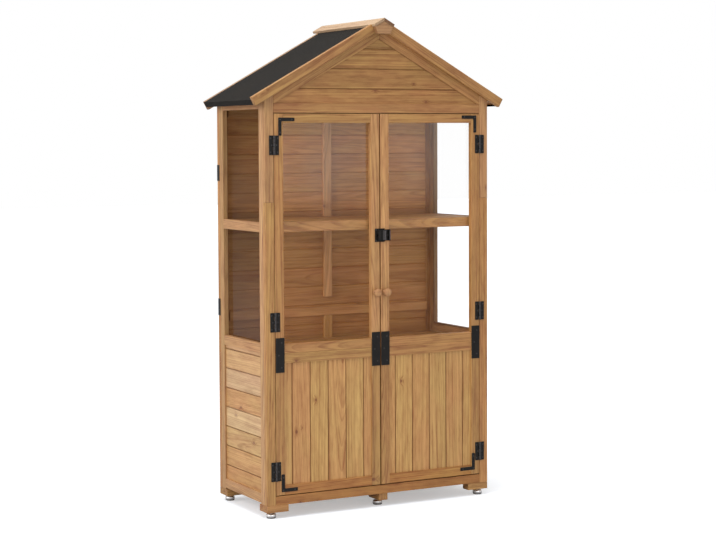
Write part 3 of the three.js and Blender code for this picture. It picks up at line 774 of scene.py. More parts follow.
def timber(
    name, bm, along, node, body="cabinet", slot="frame_wood", level=1.0, warmth=WARMTH, pale_tone_and_painted_sheen=0.0,
    arris=TIMBER_ARRIS, painted_highlight_on_top_arris=False, turn=None, faces=(), groove=GROOVE_PAINTED_SHADE, end=END_SHADE,
    front=1.0,
):
    """A piece of wood: grain runs along a vector, round a heart that lies beside the piece.

    Where faces gives the directions that its broad sides point in, the slanting sides between
    them are grooves, darker with painted shade. front is the painted shade on the side that looks
    to the front.
    """
    if arris:
        soften(bm, arris)
    broad = [any(abs(face.normal.dot(axis)) > BROAD_LIMIT for axis in faces) for face in bm.faces]
    along = along.normalized()
    if turn is not None:
        bm.transform(turn)
        along = turn.to_3x3() @ along
    corners = [vert.co.copy() for vert in bm.verts]
    centre = sum(corners, Vector()) / len(corners)
    flat = min(AXES, key=lambda axis: abs(axis.dot(along)))
    first = (flat - along * flat.dot(along)).normalized()
    second = along.cross(first)

    chance = random.Random(name)
    bearing = chance.uniform(0, math.tau)
    heart = chance.uniform(*HEART_AWAY)
    lean = [chance.uniform(-HEART_LEAN, HEART_LEAN) for _ in range(2)]
    start = chance.uniform(*GRAIN_STARTS)
    warmth = min(1.0, max(0.0, warmth + chance.uniform(-WARMTH_SPREAD, WARMTH_SPREAD)))
    tint = (level * chance.uniform(*LEVEL_SPREAD), warmth, pale_tone_and_painted_sheen)

    def grain_place(spot):
        offset = spot - centre
        run = offset.dot(along)
        return (
            run + start,
            offset.dot(first) + heart * math.cos(bearing) + run * lean[0],
            offset.dot(second) + heart * math.sin(bearing) + run * lean[1],
        )

    def face_end_tone_and_painted_light(face, is_broad):
        # Painted highlight: rounded top edges made lighter, as if lit from above
        if painted_highlight_on_top_arris and face.smooth and face.normal.z > UP_LIMIT:
            return ARRIS_PAINTED_HIGHLIGHT
        if abs(face.normal.dot(along)) > END_LIMIT:
            return end
        # Painted shade on the slanting sides of grooves
        if faces and not is_broad:
            return groove
        # Painted shade: a face that looks to the front is darkened by front
        return front if face.normal.y < -BROAD_LIMIT else 1.0

    def knot_spot():
        """The piece's own knot, just inside its outer face on the axis that it is thin on."""
        place, height, radius = KNOTS[name]
        sizes = [(min(spots), max(spots)) for spots in zip(*corners)]
        thin = min(range(3), key=lambda axis: sizes[axis][1] - sizes[axis][0])
        spot = Vector((place, place, height))
        spot[thin] = sizes[thin][0] + KNOT_DEPTH
        return grain_place(spot), radius

    end_tones_and_painted_light = [face_end_tone_and_painted_light(face, is_broad) for face, is_broad in zip(bm.faces, broad)]
    knot, knot_radius = knot_spot() if name in KNOTS else NO_KNOT
    piece = placed(name, bm, body, slot, node)
    mark(piece, "grain", [grain_place(corner) for corner in corners], "FLOAT_VECTOR", "POINT")
    mark(piece, "tint", tint, "FLOAT_VECTOR", "POINT")
    # Per face: end-grain tone, painted shade in grooves and below the shelf, painted highlight on
    # top edges
    mark(piece, "end_tone_and_painted_light", end_tones_and_painted_light)
    mark(piece, "knot", knot, "FLOAT_VECTOR")
    mark(piece, "knot_radius", knot_radius)


# Boards

def board_edges(start, end, first=BOARD_PITCH):
    """The edges of a row of boards from its first board on, with no sliver at the end."""
    edges = [start]
    line = start + first
    while line < end - LEAST_BOARD:
        edges.append(line)
        line += BOARD_PITCH
    return edges + [end]


def board_profile(start, end, face, back, has_previous, has_next):
    """One tongue-and-groove board as (along the row, across it) points."""
    inward = math.copysign(1, back - face)
    thickness = abs(back - face)
    middle = thickness / 2
    tongue = TONGUE_THICKNESS / 2
    groove = tongue + TONGUE_ROOM
    left = start + (BOARD_GAP / 2 if has_previous else 0)
    right = end - (BOARD_GAP / 2 if has_next else 0)
    left_cut = BOARD_CHAMFER if has_previous else 0
    right_cut = BOARD_CHAMFER if has_next else 0
    tongue_end = right + TONGUE_LENGTH
    groove_end = left + TONGUE_LENGTH + TONGUE_ROOM
    points = [(left + left_cut, 0), (right - right_cut, 0)]
    if has_next:
        low_side, high_side = middle - tongue, middle + tongue
        points += [(right, right_cut), (right, low_side), (tongue_end, low_side)]
        points += [(tongue_end, high_side), (right, high_side), (right, thickness - right_cut)]
    points += [(right - right_cut, thickness), (left + left_cut, thickness)]
    if has_previous:
        low_side, high_side = middle - groove, middle + groove
        points += [(left, thickness - left_cut), (left, high_side), (groove_end, high_side)]
        points += [(groove_end, low_side), (left, low_side), (left, left_cut)]
    return [(u, face + inward * depth) for u, depth in points]


def board_row(
    name, slot, along, stack, span, edges, face, back, node, body="cabinet", cuts=(), tones=None,
    painted_dusk_level=-math.inf, **looks,
):
    """A row of boards side by side on the stack axis, each running on the along axis."""
    across = 3 - along - stack
    last = len(edges) - 2
    for number, (start, end) in enumerate(zip(edges, edges[1:])):
        profile = board_profile(start, end, face, back, number > 0, number < last)
        points = profile if stack < across else [(v, u) for u, v in profile]
        bm = prism(points, along, *span)
        for point, normal in cuts:
            cut(bm, point, normal)
        for look, values in (tones or {}).items():
            looks[look] = values[number % len(values)]
        # Painted shade on the inner face of boards that start below the dusk level
        looks["front"] = PAINTED_DUSK_SHADE if start < painted_dusk_level else 1.0
        if bm.verts:
            timber(
                f"{name}_{number + 1}", bm, AXES[along], node, body, slot, arris=0,
                faces=(AXES[across],), **looks,
            )


# Lines of the roof, on its square section

def roof_level(x, depth):
    """The level of a line under the roof's top line, at a square depth."""
    return RIDGE_TOP - PITCH_TAN * abs(x) - depth / PITCH_COS


def slope_point(side, run, depth):
    """A point some way down one slope, at a square depth under the roof's top line."""
    x = run * PITCH_COS - depth * PITCH_SIN
    return (side * x, RIDGE_TOP - run * PITCH_SIN - depth * PITCH_COS)


def slope_run(x, depth):
    """How far down the slope a point is, from its distance to the middle and its depth."""
    return (x + depth * PITCH_SIN) / PITCH_COS


def down_slope(side):
    return Vector((side * PITCH_COS, 0, -PITCH_SIN))


def roof_cut(side):
    """The plane under the roof deck, as a point and a normal."""
    return Vector((0, 0, ROOF_UNDER)), Vector((side * PITCH_SIN, 0, PITCH_COS))


def under_roof(side, xs, ys, zs):
    return cut(block(xs, ys, zs), *roof_cut(side))


def rake_cuts():
    """Planes at the lower edges of the rake rails."""
    drop = Vector((0, 0, (RAKE_WIDTH + MEMBER_GAP) / PITCH_COS))
    return [(point - drop, normal) for point, normal in map(roof_cut, SIDES.values())]


# Cabinet

def side_wall(name, side):
    node = f"{name}_side_frame"
    xs, (front, rear), (bottom, _) = spans(node)
    board_xs, board_ys, board_zs = spans(f"{name}_side_boards")
    gap = MEMBER_GAP / 2
    stiles = {"front": (front, board_ys[0] - gap), "rear": (board_ys[1] + gap, rear)}
    for end, ys in stiles.items():
        bm = under_roof(side, xs, ys, (bottom, ROOF_UNDER))
        timber(f"{node}_{end}_stile", bm, AXES[Z], node, **LOOKS[f"side_{end}_stile"])
    rail_top = high("upper_shelf").z + SHELF_DROP
    rails = {
        "bottom": (bottom + SIDE_RAIL_LIFT, board_zs[0]),
        "sill": (board_zs[1], board_zs[1] + RAIL_WIDTH),
        "middle": (rail_top - RAIL_WIDTH, rail_top),
        "top": (high(f"{name}_side_pane").z - PANE_LAP, ROOF_UNDER),
    }
    for rail, zs in rails.items():
        bm = under_roof(side, xs, (board_ys[0] + gap, board_ys[1] - gap), zs)
        timber(f"{node}_{rail}_rail", bm, AXES[Y], node, **LOOKS["side_rail"])
    inner, outer = outward(board_xs, side)
    edges = board_edges(*board_zs, SIDE_FIRST_BOARD)
    board_row(
        f"{name}_side_board", "board_wood", Y, Z, board_ys, edges, outer, inner,
        f"{name}_side_boards", tones=SIDE_BOARD_LOOKS,
    )


def front_post(name, side):
    node = f"{name}_front_post"
    xs, ys, (bottom, _) = spans(node)
    joint = high("upper_shelf").z + SHELF_DROP + POST_JOINT_RISE
    lower = block(xs, ys, (bottom, joint - MEMBER_GAP))
    timber(f"{node}_lower", lower, AXES[Z], node, **LOOKS[f"{name}_lower_post"])
    upper = under_roof(side, xs, (ys[0] + POST_STEP, ys[1]), (joint, ROOF_UNDER))
    timber(f"{node}_upper", upper, AXES[Z], node, **LOOKS["upper_post"])


def rake_rail(name, side, ys, outer, foot, node):
    """A rail under the roof's slope, from the ridge down to an upright and a level."""
    drop = PITCH_TAN * outer
    under = ROOF_UNDER - RAKE_WIDTH / PITCH_COS
    x = side * outer
    middle = side * MEMBER_GAP / 2
    outline = [(middle, ROOF_UNDER), (x, ROOF_UNDER - drop)]
    if under - drop > foot:
        outline += [(x, under - drop)]
    else:
        outline += [(x, foot), (side * (under - foot) / PITCH_TAN, foot)]
    outline += [(middle, under)]
    timber(name, prism(outline, Y, *ys), down_slope(side), node)


def front_gable():
    node = "front_gable_panel"
    xs, ys, zs = spans(node)
    for name, side in SIDES.items():
        rake_rail(f"front_{name}_rake_rail", side, ys, xs[1], zs[0], node)
    edges = board_edges(*zs, GABLE_FIRST_BOARD)
    face = ys[0] + GABLE_BOARD_STEP
    board_row(
        "gable_board", "frame_wood", X, Z, xs, edges, face, face + BOARD_THICKNESS, node,
        cuts=rake_cuts(), **LOOKS["gable_board"],
    )


def back_frame():
    node = "back_frame"
    (_, outer), ys, (bottom, _) = spans(node)
    inner = outer - POST_WIDTH
    for name, side in SIDES.items():
        xs = (side * outer, side * (inner + MEMBER_GAP))
        stile = under_roof(side, xs, ys, (bottom, ROOF_UNDER))
        timber(f"back_{name}_stile", stile, AXES[Z], node)
        rake_rail(f"back_{name}_rake_rail", side, ys, inner, bottom, node)
    rail = block((-inner, inner), ys, (bottom, bottom + RAIL_WIDTH))
    timber("back_bottom_rail", rail, AXES[X], node)


def back_boards():
    """The boards, with battens on their inner face."""
    node = "back_boards"
    xs, (front, rear), zs = spans(node)
    face = rear - BOARD_THICKNESS
    # Painted shade: back boards below the upper shelf get a darker inner face, as if the shelf
    # shaded them
    board_row(
        "back_board", "inside_wood", X, Z, xs, board_edges(*zs, BACK_FIRST_BOARD), face, rear,
        node, cuts=rake_cuts(), painted_dusk_level=low("upper_shelf").z, **LOOKS["back_board"],
    )
    low_batten = high("left_side_boards").z + RAIL_WIDTH + LOW_BATTEN_RISE
    low_top = low_batten + BATTEN_WIDTH
    head = low("front_header_rail").z - HEAD_BATTEN_DROP
    middle = (-BATTEN_OFFSET - BATTEN_WIDTH / 2, BATTEN_WIDTH / 2 - BATTEN_OFFSET)
    battens = {
        "low_batten": (X, xs, (low_batten, low_top)),
        "head_batten": (X, xs, (head, head + BATTEN_WIDTH)),
        "lower_upright": (Z, middle, (zs[0], low_batten - MEMBER_GAP)),
        "upper_upright": (Z, middle, (low_top + BATTEN_BREAK, head - MEMBER_GAP)),
    }
    for name, (along, batten_xs, batten_zs) in battens.items():
        bm = block(batten_xs, (front, face - HALF_SEAM), batten_zs)
        timber(f"back_{name}", bm, AXES[along], node, slot="inside_wood", **LOOKS[name])


def front_rails():
    """The two rails, and a strip behind the upper one that the doors close against."""
    for node in ("front_bottom_rail", "front_header_rail"):
        timber(node, block(*spans(node)), AXES[X], node, **LOOKS[node])
    (left, right), (_, rear), (bottom, _) = spans("front_header_rail")
    xs = (left - STOP_INSET, right + STOP_INSET)
    zs = (high("left_door_upper_frame").z - STOP_LAP, bottom + STOP_LAP)
    bm = block(xs, (rear, rear + STOP_DEPTH), zs)
    timber("door_stop", bm, AXES[X], "front_header_rail", **LOOKS["door_stop"])


def bearers(name, node, width, xs, ys, zs, slot="frame_wood"):
    """Three bearers from front to back, one at either end and one in the middle."""
    starts = {"left": xs[0], "middle": -width / 2, "right": xs[1] - width}
    for place, start in starts.items():
        bm = block((start, start + width), ys, zs)
        timber(f"{name}_{place}_bearer", bm, AXES[Y], node, slot=slot)


def shelf(node):
    """Slats on three bearers, between a front and a back rail."""
    xs, ys, (bottom, top) = spans(node)
    front, rear = ys[0] + FRAME_THICKNESS, ys[1] - FRAME_THICKNESS
    front_rail = block(xs, (ys[0], front), (bottom, top))
    timber(f"{node}_front_rail", front_rail, AXES[X], node, **LOOKS["shelf_front_rail"])
    timber(f"{node}_back_rail", block(xs, (rear, ys[1]), (bottom, top)), AXES[X], node)
    width = (rear - front - SLAT_GAP * (SLAT_COUNT + 1)) / SLAT_COUNT
    end = high("left_side_pane").x + MEMBER_GAP
    underside = top - SLAT_THICKNESS
    for number in range(SLAT_COUNT):
        start = front + SLAT_GAP + number * (width + SLAT_GAP)
        bm = block((end, -end), (start, start + width), (underside, top))
        timber(f"{node}_slat_{number + 1}", bm, AXES[X], node, **LOOKS["slat"])
    ys = (front + MEMBER_GAP, rear - MEMBER_GAP)
    bearers(node, node, SHELF_BEARER, (end, -end), ys, (bottom, underside - MEMBER_GAP))


def floor_panel():
    """Boards on three bearers."""
    node = "floor_panel"
    xs, ys, (bottom, top) = spans(node)
    underside = top - BOARD_THICKNESS
    board_row("floor_board", "inside_wood", X, Y, xs, board_edges(*ys), top, underside, node)
    bearers("floor", node, FLOOR_BEARER, xs, ys, (bottom, underside - MEMBER_GAP), "inside_wood")


# Roof

def roof_deck(name, side):
    """Boards laid level on one side of the ridge and turned down to the slope."""
    node = f"{name}_roof_deck"
    top = CAP_THICKNESS + FELT_THICKNESS + HALF_SEAM
    start = top * PITCH_TAN + 2 * MEMBER_GAP
    edges = sorted(side * edge for edge in board_edges(start, slope_run(reach(node), top)))
    turn = Matrix.Translation((0, 0, RIDGE_TOP)) @ Matrix.Rotation(ROOF_PITCH * side, 4, "Y")
    board_row(
        f"{name}_roof_board", "inside_wood", Y, X, spans(node)[Y], edges, -top,
        -top - DECK_THICKNESS, node, turn=turn,
    )


def felt_sheet(name, side):
    """Felt on one slope, turned down over the deck's lower edge."""
    node = f"{name}_roof_felt"
    front, rear = spans(node)[Y]
    top = CAP_THICKNESS + HALF_SEAM
    under = CAP_THICKNESS + FELT_THICKNESS - HALF_SEAM
    end = CAP_THICKNESS + FELT_DROP
    run = slope_run(reach(node), top)
    inner = run - FELT_THICKNESS
    middle = side * HALF_SEAM
    turned = [(run, top), (run, end), (inner, end), (inner, under)]
    outline = [(middle, roof_level(middle, top))]
    outline += [slope_point(side, *place) for place in turned]
    outline += [(middle, roof_level(middle, under))]
    bm = soften(prism(outline, Y, front, rear - FELT_REAR_GAP), FELT_THICKNESS / 4)
    placed(f"{node}_sheet", bm, "cabinet", "roof_felt", node)


def barge_board(end, name, side):
    """A board along the roof's edge. The front one is notched for the ridge cap."""
    node = f"{end}_{name}_barge_board"
    run = slope_run(reach(node), HALF_SEAM)
    cap_run = CAP_HALF_WIDTH / PITCH_COS + HALF_SEAM
    cap_under = CAP_THICKNESS + HALF_SEAM
    rise = 0 if end == "front" else CAP_THICKNESS
    under = rise + BARGE_WIDTH - HALF_SEAM
    middle = side * HALF_SEAM
    notch = [(cap_run, cap_under), (cap_run, HALF_SEAM)] if end == "front" else []
    places = notch + [(run, rise + HALF_SEAM), (run, under)]
    outline = [(middle, roof_level(middle, cap_under))]
    outline += [slope_point(side, *place) for place in places]
    outline += [(middle, roof_level(middle, under))]
    # The barge boards' rounded top edge carries a painted highlight
    looks = {"arris": BARGE_ARRIS, "painted_highlight_on_top_arris": True, **LOOKS[f"{end}_barge"]}
    timber(f"{node}_piece", prism(outline, Y, *spans(node)[Y]), down_slope(side), node, **looks)


def ridge_cap():
    node = "ridge_cap"
    top, under = HALF_SEAM, CAP_THICKNESS - HALF_SEAM
    run = CAP_HALF_WIDTH / PITCH_COS - HALF_SEAM
    for name, side in SIDES.items():
        middle = side * MEMBER_GAP / 2
        outline = [(middle, roof_level(0, top)), slope_point(side, run, top)]
        outline += [slope_point(side, run, under), (middle, roof_level(0, under))]
        bm = prism(outline, Y, *spans(node)[Y])
        looks = LOOKS[f"{name}_cap"]
        timber(f"{name}_ridge_cap_board", bm, AXES[Y], node, slot="board_wood", **looks)


def apex_block():
    node = "apex_block"
    (_, half), ys, (bottom, top) = spans(node)
    shoulder = top - PITCH_TAN * half
    outline = [(-APEX_FOOT, bottom), (APEX_FOOT, bottom)]
    outline += [(half, shoulder), (0, top), (-half, shoulder)]
    timber("apex_block_piece", prism(outline, Y, *ys), AXES[X], node, **LOOKS["apex"])


# Doors and panes

def door_frame(name, part, side, bottom_rail, top_rail):
    node = f"{name}_door_{part}_frame"
    body = f"{name}_door"
    (left, right), ys, (bottom, top) = spans(node)
    stiles = {"left": (left, left + POST_WIDTH), "right": (right - POST_WIDTH, right)}
    for place, xs in stiles.items():
        meeting = part == "upper" and SIDES[place] == -side
        looks = LOOKS["meeting_stile"] if meeting else {}
        bm = block(xs, ys, (bottom, top))
        timber(f"{node}_{place}_stile", bm, AXES[Z], node, body, **looks)
    xs = (stiles["left"][1] + MEMBER_GAP, stiles["right"][0] - MEMBER_GAP)
    rails = {"bottom": (bottom, bottom + bottom_rail), "top": (top - top_rail, top)}
    for place, zs in rails.items():
        looks = LOOKS["door_low_rail"] if (part, place) == ("lower", "bottom") else {}
        timber(f"{node}_{place}_rail", block(xs, ys, zs), AXES[X], node, body, **looks)


def door_boards(name, side):
    node = f"{name}_door_boards"
    xs, ys, zs = spans(node)
    edges = board_edges(min(map(abs, xs)), reach(node), DOOR_FIRST_BOARD[name])
    board_row(
        f"{name}_door_board", "board_wood", Z, X, zs, sorted(side * edge for edge in edges), *ys,
        node, f"{name}_door", tones=DOOR_BOARD_LOOKS[name],
    )


def pane(node, body, film):
    bm = soften(block(*spans(node)), PANE_EDGE, 1)
    piece = placed(f"{node}_sheet", bm, body, "clear_pane", node)
    # Painted shade tint on the faces that look outward from the middle
    outward_shares = [face.normal.x * face.center.x for face in piece.data.polygons]
    mark(piece, "film", film)
    mark(piece, "painted_shade_tint", [1.0 if share > OUTER_LIMIT else 0.0 for share in outward_shares])


# Feet

def glide(node, centre):
    """A plastic pad, a steel cup and a stem."""
    rim = GLIDE_RIM
    seat = PAD_HEIGHT + HALF_SEAM
    top = PAD_HEIGHT + CUP_HEIGHT
    end = GLIDE_HEIGHT + rim
    pad = [(0, 0), (PAD_RADIUS - rim, 0), (PAD_RADIUS, rim)]
    pad += [(PAD_RADIUS, PAD_HEIGHT), (0, PAD_HEIGHT)]
    cup = [(0, seat), (CUP_RADIUS, seat), (CUP_RADIUS, top - 2 * rim)]
    cup += [(CUP_RADIUS - rim, top - rim), (CUP_RADIUS - 3 * rim, top), (0, top)]
    stem = [(0, top), (STEM_RADIUS, top), (STEM_RADIUS, end), (0, end)]
    for part, profile in {"pad": pad, "cup": cup, "stem": stem}.items():
        slot = "glide_pad" if part == "pad" else "glide_steel"
        placed(f"{node}_{part}", lathe(profile, centre), "cabinet", slot, node)


def corner_foot(node, side, end):
    """A block whose inner corner is cut off at 45 degrees, on its glide."""
    xs, ys, (_, top) = spans(node)
    inner, outer = outward(xs, side)
    deep, edge = outward(ys, end)
    shallow = edge - end * FOOT_INNER_DEPTH
    clipped = inner + side * abs(deep - shallow)
    outline = [(outer, edge), (inner, edge), (inner, shallow), (clipped, deep), (outer, deep)]
    timber(f"{node}_block", prism(outline, Z, GLIDE_HEIGHT, top), AXES[X], node)
    glide(node, (outer - side * GLIDE_INSET, edge - end * GLIDE_INSET))


def middle_foot():
    node = "front_middle_foot"
    xs, ys, (_, top) = spans(node)
    timber(f"{node}_block", block(xs, ys, (GLIDE_HEIGHT, top)), AXES[Y], node)
    glide(node, (sum(xs) / 2, ys[0] + MIDDLE_GLIDE_SETBACK))


# Metal pieces and knobs

def plate(name, outline, axis, start, end, body, node=None, level=EDGE_PAINTED_HIGHLIGHT, all_over=False):
    bm = soften(prism(outline, axis, start, end), PLATE_EDGE)
    paint_highlight(placed(name, bm, body, "black_metal", node), level, all_over)


def screw(name, place, out, body, node=None):
    """A screw head with a cross-shaped recess, facing the way that out points."""
    bm = bmesh.new()
    turns = [math.tau * step / SCREW_SIDES for step in range(SCREW_SIDES)]

    def circle(radius):
        return [(radius * math.cos(turn), radius * math.sin(turn)) for turn in turns]

    def ring(points, level):
        verts = [bm.verts.new((*point, level)) for point in points]
        return verts, [bm.edges.new((verts[k - 1], verts[k])) for k in range(len(verts))]

    def wall(near, far):
        for k in range(len(near)):
            bm.faces.new((near[k - 1], near[k], far[k], far[k - 1]))

    arm, slot = SCREW_ARM, SCREW_SLOT
    cross = [(arm, slot), (slot, slot), (slot, arm), (-slot, arm), (-slot, slot), (-arm, slot)]
    cross += [(-u, -v) for u, v in cross]
    foot, _ = ring(circle(SCREW_RADIUS), 0.0)
    rim, rim_edges = ring(circle(SCREW_RADIUS - SCREW_SHOULDER), SCREW_RISE)
    mouth, mouth_edges = ring(cross, SCREW_RISE)
    floor, _ = ring(cross, SCREW_SINK)
    wall(foot, rim)
    wall(mouth, floor)
    bmesh.ops.triangle_fill(bm, use_beauty=True, edges=rim_edges + mouth_edges)
    bm.faces.new(floor)
    bm.faces.new(foot)
    bmesh.ops.recalc_face_normals(bm, faces=bm.faces)
    angle = random.Random(name).uniform(0, math.tau)
    facing = out.to_track_quat("Z", "Y").to_matrix().to_4x4()
    bm.transform(Matrix.Translation(place) @ facing @ Matrix.Rotation(angle, 4, "Z"))
    # Screw heads get a faint painted highlight all over
    paint_highlight(placed(name, bm, body, "black_metal", node), SCREW_PAINTED_HIGHLIGHT, all_over=True)


def screw_row(node, xs, face, zs, body):
    """Screws up a plate, one to each side of its middle line in turn."""
    for number, share in enumerate(SCREW_ROW_SHARES):
        sway = (xs[1] - xs[0]) * SCREW_SWAY * (-1) ** number
        place = (sum(xs) / 2 + sway, face, between(zs, share))
        screw(f"{node}_screw_{number + 1}", place, FORWARD, body, node)


def joining_plate(name, part):
    node = f"{name}_door_{part}_plate"
    xs, ys, zs = spans(node)
    outline = rounded(rectangle(xs, zs), PLATE_CORNER)
    plate(f"{node}_piece", outline, Y, *ys, f"{name}_door", node)
    screw_row(node, xs, ys[0], zs, f"{name}_door")


def corner_brace(name, side, end):
    """An L-shaped plate on a door's outer corner."""
    body = f"{name}_door"
    part, up = {"top": ("upper", -1), "bottom": ("lower", 1)}[end]
    xs, (face, _), zs = spans(f"{body}_{part}_frame")
    side_inset, end_inset = BRACE_INSETS[f"{name}_{end}"]
    x = outward(xs, side)[1] - side * side_inset
    z = outward(zs, up)[0] + up * end_inset
    long, wide = BRACE_LEG, BRACE_WIDTH
    shape = [(0, 0), (long, 0), (long, wide), (wide, wide), (wide, long), (0, long)]
    outline = rounded([(x - side * u, z + up * v) for u, v in shape], BRACE_CORNER)
    front = face - BRACE_THICKNESS
    plate(f"{name}_{end}_brace", outline, Y, front, face, body)
    middle, far = wide / 2, long * BRACE_HOLE_SHARE
    for number, (u, v) in enumerate([(middle, middle), (far, middle), (middle, far)], 1):
        place = (x - side * u, front, z + up * v)
        screw(f"{name}_{end}_brace_screw_{number}", place, FORWARD, body)


def side_plates(name, side):
    """Two small plates on the rear edge of a side."""
    face = outward(spans(f"{name}_side_frame")[X], side)[1]
    top = face + side * BRACE_THICKNESS
    rear = high("back_frame").y - SIDE_PLATE_INSET
    for number, zs in enumerate(SIDE_PLATE_LEVELS, 1):
        plate_name = f"{name}_side_plate_{number}"
        outline = rounded(rectangle((rear - SIDE_PLATE_WIDTH, rear), zs), PLATE_CORNER)
        plate(plate_name, outline, X, *sorted((face, top)), "cabinet")
        for place, share in enumerate(SIDE_SCREW_SHARES, 1):
            centre = (top, rear - SIDE_PLATE_WIDTH / 2, between(zs, share))
            screw(f"{plate_name}_screw_{place}", centre, Vector((side, 0, 0)), "cabinet")


def knuckle(centre, start, end):
    edge = BARREL_EDGE
    profile = [(0, start), (BARREL_RADIUS - edge, start), (BARREL_RADIUS, start + edge)]
    profile += [(BARREL_RADIUS, end - edge), (BARREL_RADIUS - edge, end), (0, end)]
    return lathe(profile, centre, sides=32)


def hinge_leaf(name, side, place, part):
    """A rounded plate with every other knuckle of the barrel, and its screws."""
    node = f"{name}_{place}_{part}_hinge_leaf"
    body = "cabinet" if part == "post" else f"{name}_door"
    away = side if part == "post" else -side
    leaf_xs, _, zs = spans(node)
    axis_x = outward(spans(f"{name}_front_post")[X], side)[0] - side * DOOR_HINGE_GAP / 2
    axis_y = FRONT_FACE - BARREL_CLEARANCE - BARREL_RADIUS
    xs = (axis_x + away * LEAF_GAP, axis_x + away * max(abs(x - axis_x) for x in leaf_xs))
    ys = (FRONT_FACE - LEAF_THICKNESS, FRONT_FACE)
    outline = rounded(rectangle(sorted(xs), zs), LEAF_CORNER)
    plate(f"{node}_plate", outline, Y, *ys, body, node)
    strap_xs = (axis_x, axis_x + away * (LEAF_GAP + LEAF_CORNER))
    pitch = (zs[1] - zs[0]) / HINGE_KNUCKLES
    for number in range(0 if part == "post" else 1, HINGE_KNUCKLES, 2):
        start = zs[0] + number * pitch + HINGE_KNUCKLE_GAP / 2
        end = start + pitch - HINGE_KNUCKLE_GAP
        barrel = knuckle((axis_x, axis_y), start, end)
        # Painted highlight on the barrel's rounded faces
        paint_highlight(placed(f"{node}_knuckle_{number}", barrel, body, "black_metal", node), BARREL_PAINTED_HIGHLIGHT)
        strap = soften(block(strap_xs, ys, (start, end)), PLATE_EDGE, 1)
        placed(f"{node}_strap_{number}", strap, body, "black_metal", node)
    screw_row(node, xs, ys[0], zs, body)


def knob(name):
    """A turned knob: a collar and a neck that swells into a flattened ball."""
    node = f"{name}_door_knob"
    xs, (front, back), zs = spans(node)
    profile = [(0, 0), (KNOB_COLLAR, 0), (KNOB_COLLAR, KNOB_COLLAR_SIDE)]
    profile += [(KNOB_COLLAR - KNOB_EASE, KNOB_COLLAR_LENGTH)]
    profile += [(KNOB_NECK, KNOB_COLLAR_LENGTH + KNOB_EASE), (KNOB_WAIST, KNOB_WAIST_LEVEL)]
    ball = (back - front - KNOB_NECK_LENGTH) / 2
    start = math.asin(KNOB_NECK / KNOB_RADIUS)
    for step in range(KNOB_STEPS + 1):
        turn = start + (math.pi - start) * step / KNOB_STEPS
        radius = 0 if step == KNOB_STEPS else KNOB_RADIUS * math.sin(turn)
        profile.append((radius, KNOB_NECK_LENGTH + ball - ball * math.cos(turn)))
    bm = lathe(profile, (0, 0), sides=48)
    place = Matrix.Translation((sum(xs) / 2, back, sum(zs) / 2))
    bm.transform(place @ Matrix.Rotation(math.pi / 2, 4, "X"))
    timber(f"{node}_piece", bm, AXES[Y], node, f"{name}_door", arris=0, **LOOKS["knob"])


def latch():
    """The latch's pieces keep their solids, with softened edges, and get ribs and screws."""
    for node in ("latch_keeper", "latch_base", "latch_bolt"):
        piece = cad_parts[node]
        piece.data.materials.clear()
        piece.data.materials.append(MATERIALS["black_metal"])
        edge = piece.modifiers.new("edge", "BEVEL")
        edge.width = PLATE_EDGE
        edge.segments = 2
        edge.limit_method = "ANGLE"
    _, (front, _), (bottom, top) = spans("latch_base")
    ys = (front - RIB_RISE, front)
    # The ribs get a strong painted highlight all over
    for number, xs in enumerate(RIB_SPANS, 1):
        outline = rounded(rectangle(xs, (bottom + RIB_INSET, top - RIB_INSET)), RIB_CORNER)
        plate(f"latch_rib_{number}", outline, Y, *ys, "right_door", level=RIB_PAINTED_HIGHLIGHT, all_over=True)
    (left, _), _, (bottom, top) = spans("latch_keeper")
    inset = LATCH_SCREW_INSET
    screws = {"left_door": (left + inset, inset), "right_door": (LATCH_SCREW_X, 2 * inset)}
    for body, (x, rise) in screws.items():
        for number, z in enumerate((bottom + rise, top - rise), 1):
            screw(f"{body}_latch_screw_{number}", (x, FRONT_FACE - LATCH_PLATE, z), FORWARD, body)


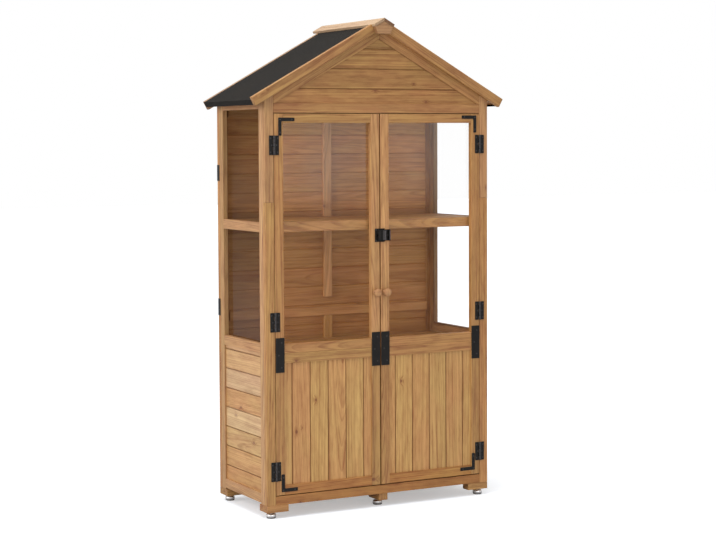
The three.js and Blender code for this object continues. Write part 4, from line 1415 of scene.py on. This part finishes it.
def build():
    for name, side in SIDES.items():
        side_wall(name, side)
        side_plates(name, side)
        pane(f"{name}_side_pane", "cabinet", SIDE_PANE_FILM)
        front_post(name, side)
        roof_deck(name, side)
        felt_sheet(name, side)
        for end_name, end in ENDS.items():
            barge_board(end_name, name, side)
            corner_foot(f"{end_name}_{name}_foot", side, end)
        door_frame(name, "upper", side, DOOR_SILL_RAIL, DOOR_TOP_RAIL)
        door_frame(name, "lower", side, DOOR_LOWER_RAIL, DOOR_LOWER_RAIL)
        door_boards(name, side)
        pane(f"{name}_door_pane", f"{name}_door", DOOR_PANE_FILM)
        knob(name)
        joining_plate(name, "inner")
        joining_plate(name, "outer")
        for place in ("top", "middle", "bottom"):
            hinge_leaf(name, side, place, "post")
            hinge_leaf(name, side, place, "door")
        for end in ("top", "bottom"):
            corner_brace(name, side, end)
    back_frame()
    back_boards()
    front_rails()
    front_gable()
    shelf("upper_shelf")
    shelf("middle_shelf")
    floor_panel()
    ridge_cap()
    apex_block()
    middle_foot()
    latch()


# Lights and floor

def studio():
    """A white backdrop for the camera, soft light all round and a key light from the left."""
    shader = Shader(bpy.data.worlds.new("studio"), "Background")
    path = shader.add("LightPath")
    seen = shader.math("MAXIMUM", path["Is Camera Ray"], path["Is Glossy Ray"])
    seen = shader.math("MAXIMUM", seen, path["Is Transmission Ray"])
    strength = shader.spread(seen, 0.0, 1.0, SOFT_LIGHT, 1.0)
    scene.world = shader.finished({"Strength": strength, "Color": WHITE})
    for name, (place, size, power) in LAMPS.items():
        data = bpy.data.lights.new(name, "AREA")
        data.shape = "SQUARE"
        data.size = size
        data.energy = power
        lamp = bpy.data.objects.new(name, data)
        lamp.location = place
        aim = Vector(LAMP_AIM) - Vector(place)
        lamp.rotation_euler = aim.to_track_quat("-Z", "Y").to_euler()
        scene.collection.objects.link(lamp)


def studio_floor():
    """A white floor that keeps the object's shadow."""
    shader = Shader(bpy.data.materials.new("studio_floor"))
    place = shader.position()
    patch = shader.noise(place, scale=0.6, detail=2.0)
    path = shader.add("LightPath")
    seen = shader.math("MAXIMUM", path["Is Camera Ray"], path["Is Transmission Ray"])
    away = shader.vector("LENGTH", shader.vector("SUBTRACT", place, SHADOW_CENTRE))
    glow = shader.plus(shader.spread(away, *NEAR_GLOW), shader.spread(away, *FAR_GLOW))
    material = shader.finished({
        "Base Color": shader.mix(patch, (0.73, 0.78, 0.84, 1), (0.75, 0.79, 0.85, 1)),
        "Roughness": 0.9,
        "Specular IOR Level": 0.1,
        "Emission Color": WHITE,
        "Emission Strength": shader.times(seen, glow),
    })
    bm = bmesh.new()
    span = (-FLOOR_REACH, FLOOR_REACH)
    bm.faces.new([bm.verts.new((*corner, 0)) for corner in rectangle(span, span)])
    mesh = bpy.data.meshes.new("floor")
    bm.to_mesh(mesh)
    bm.free()
    mesh.materials.append(material)
    floor = bpy.data.objects.new("floor", mesh)
    scene.collection.objects.link(floor)


build()
studio()
studio_floor()
scene.view_settings.view_transform = "Standard"
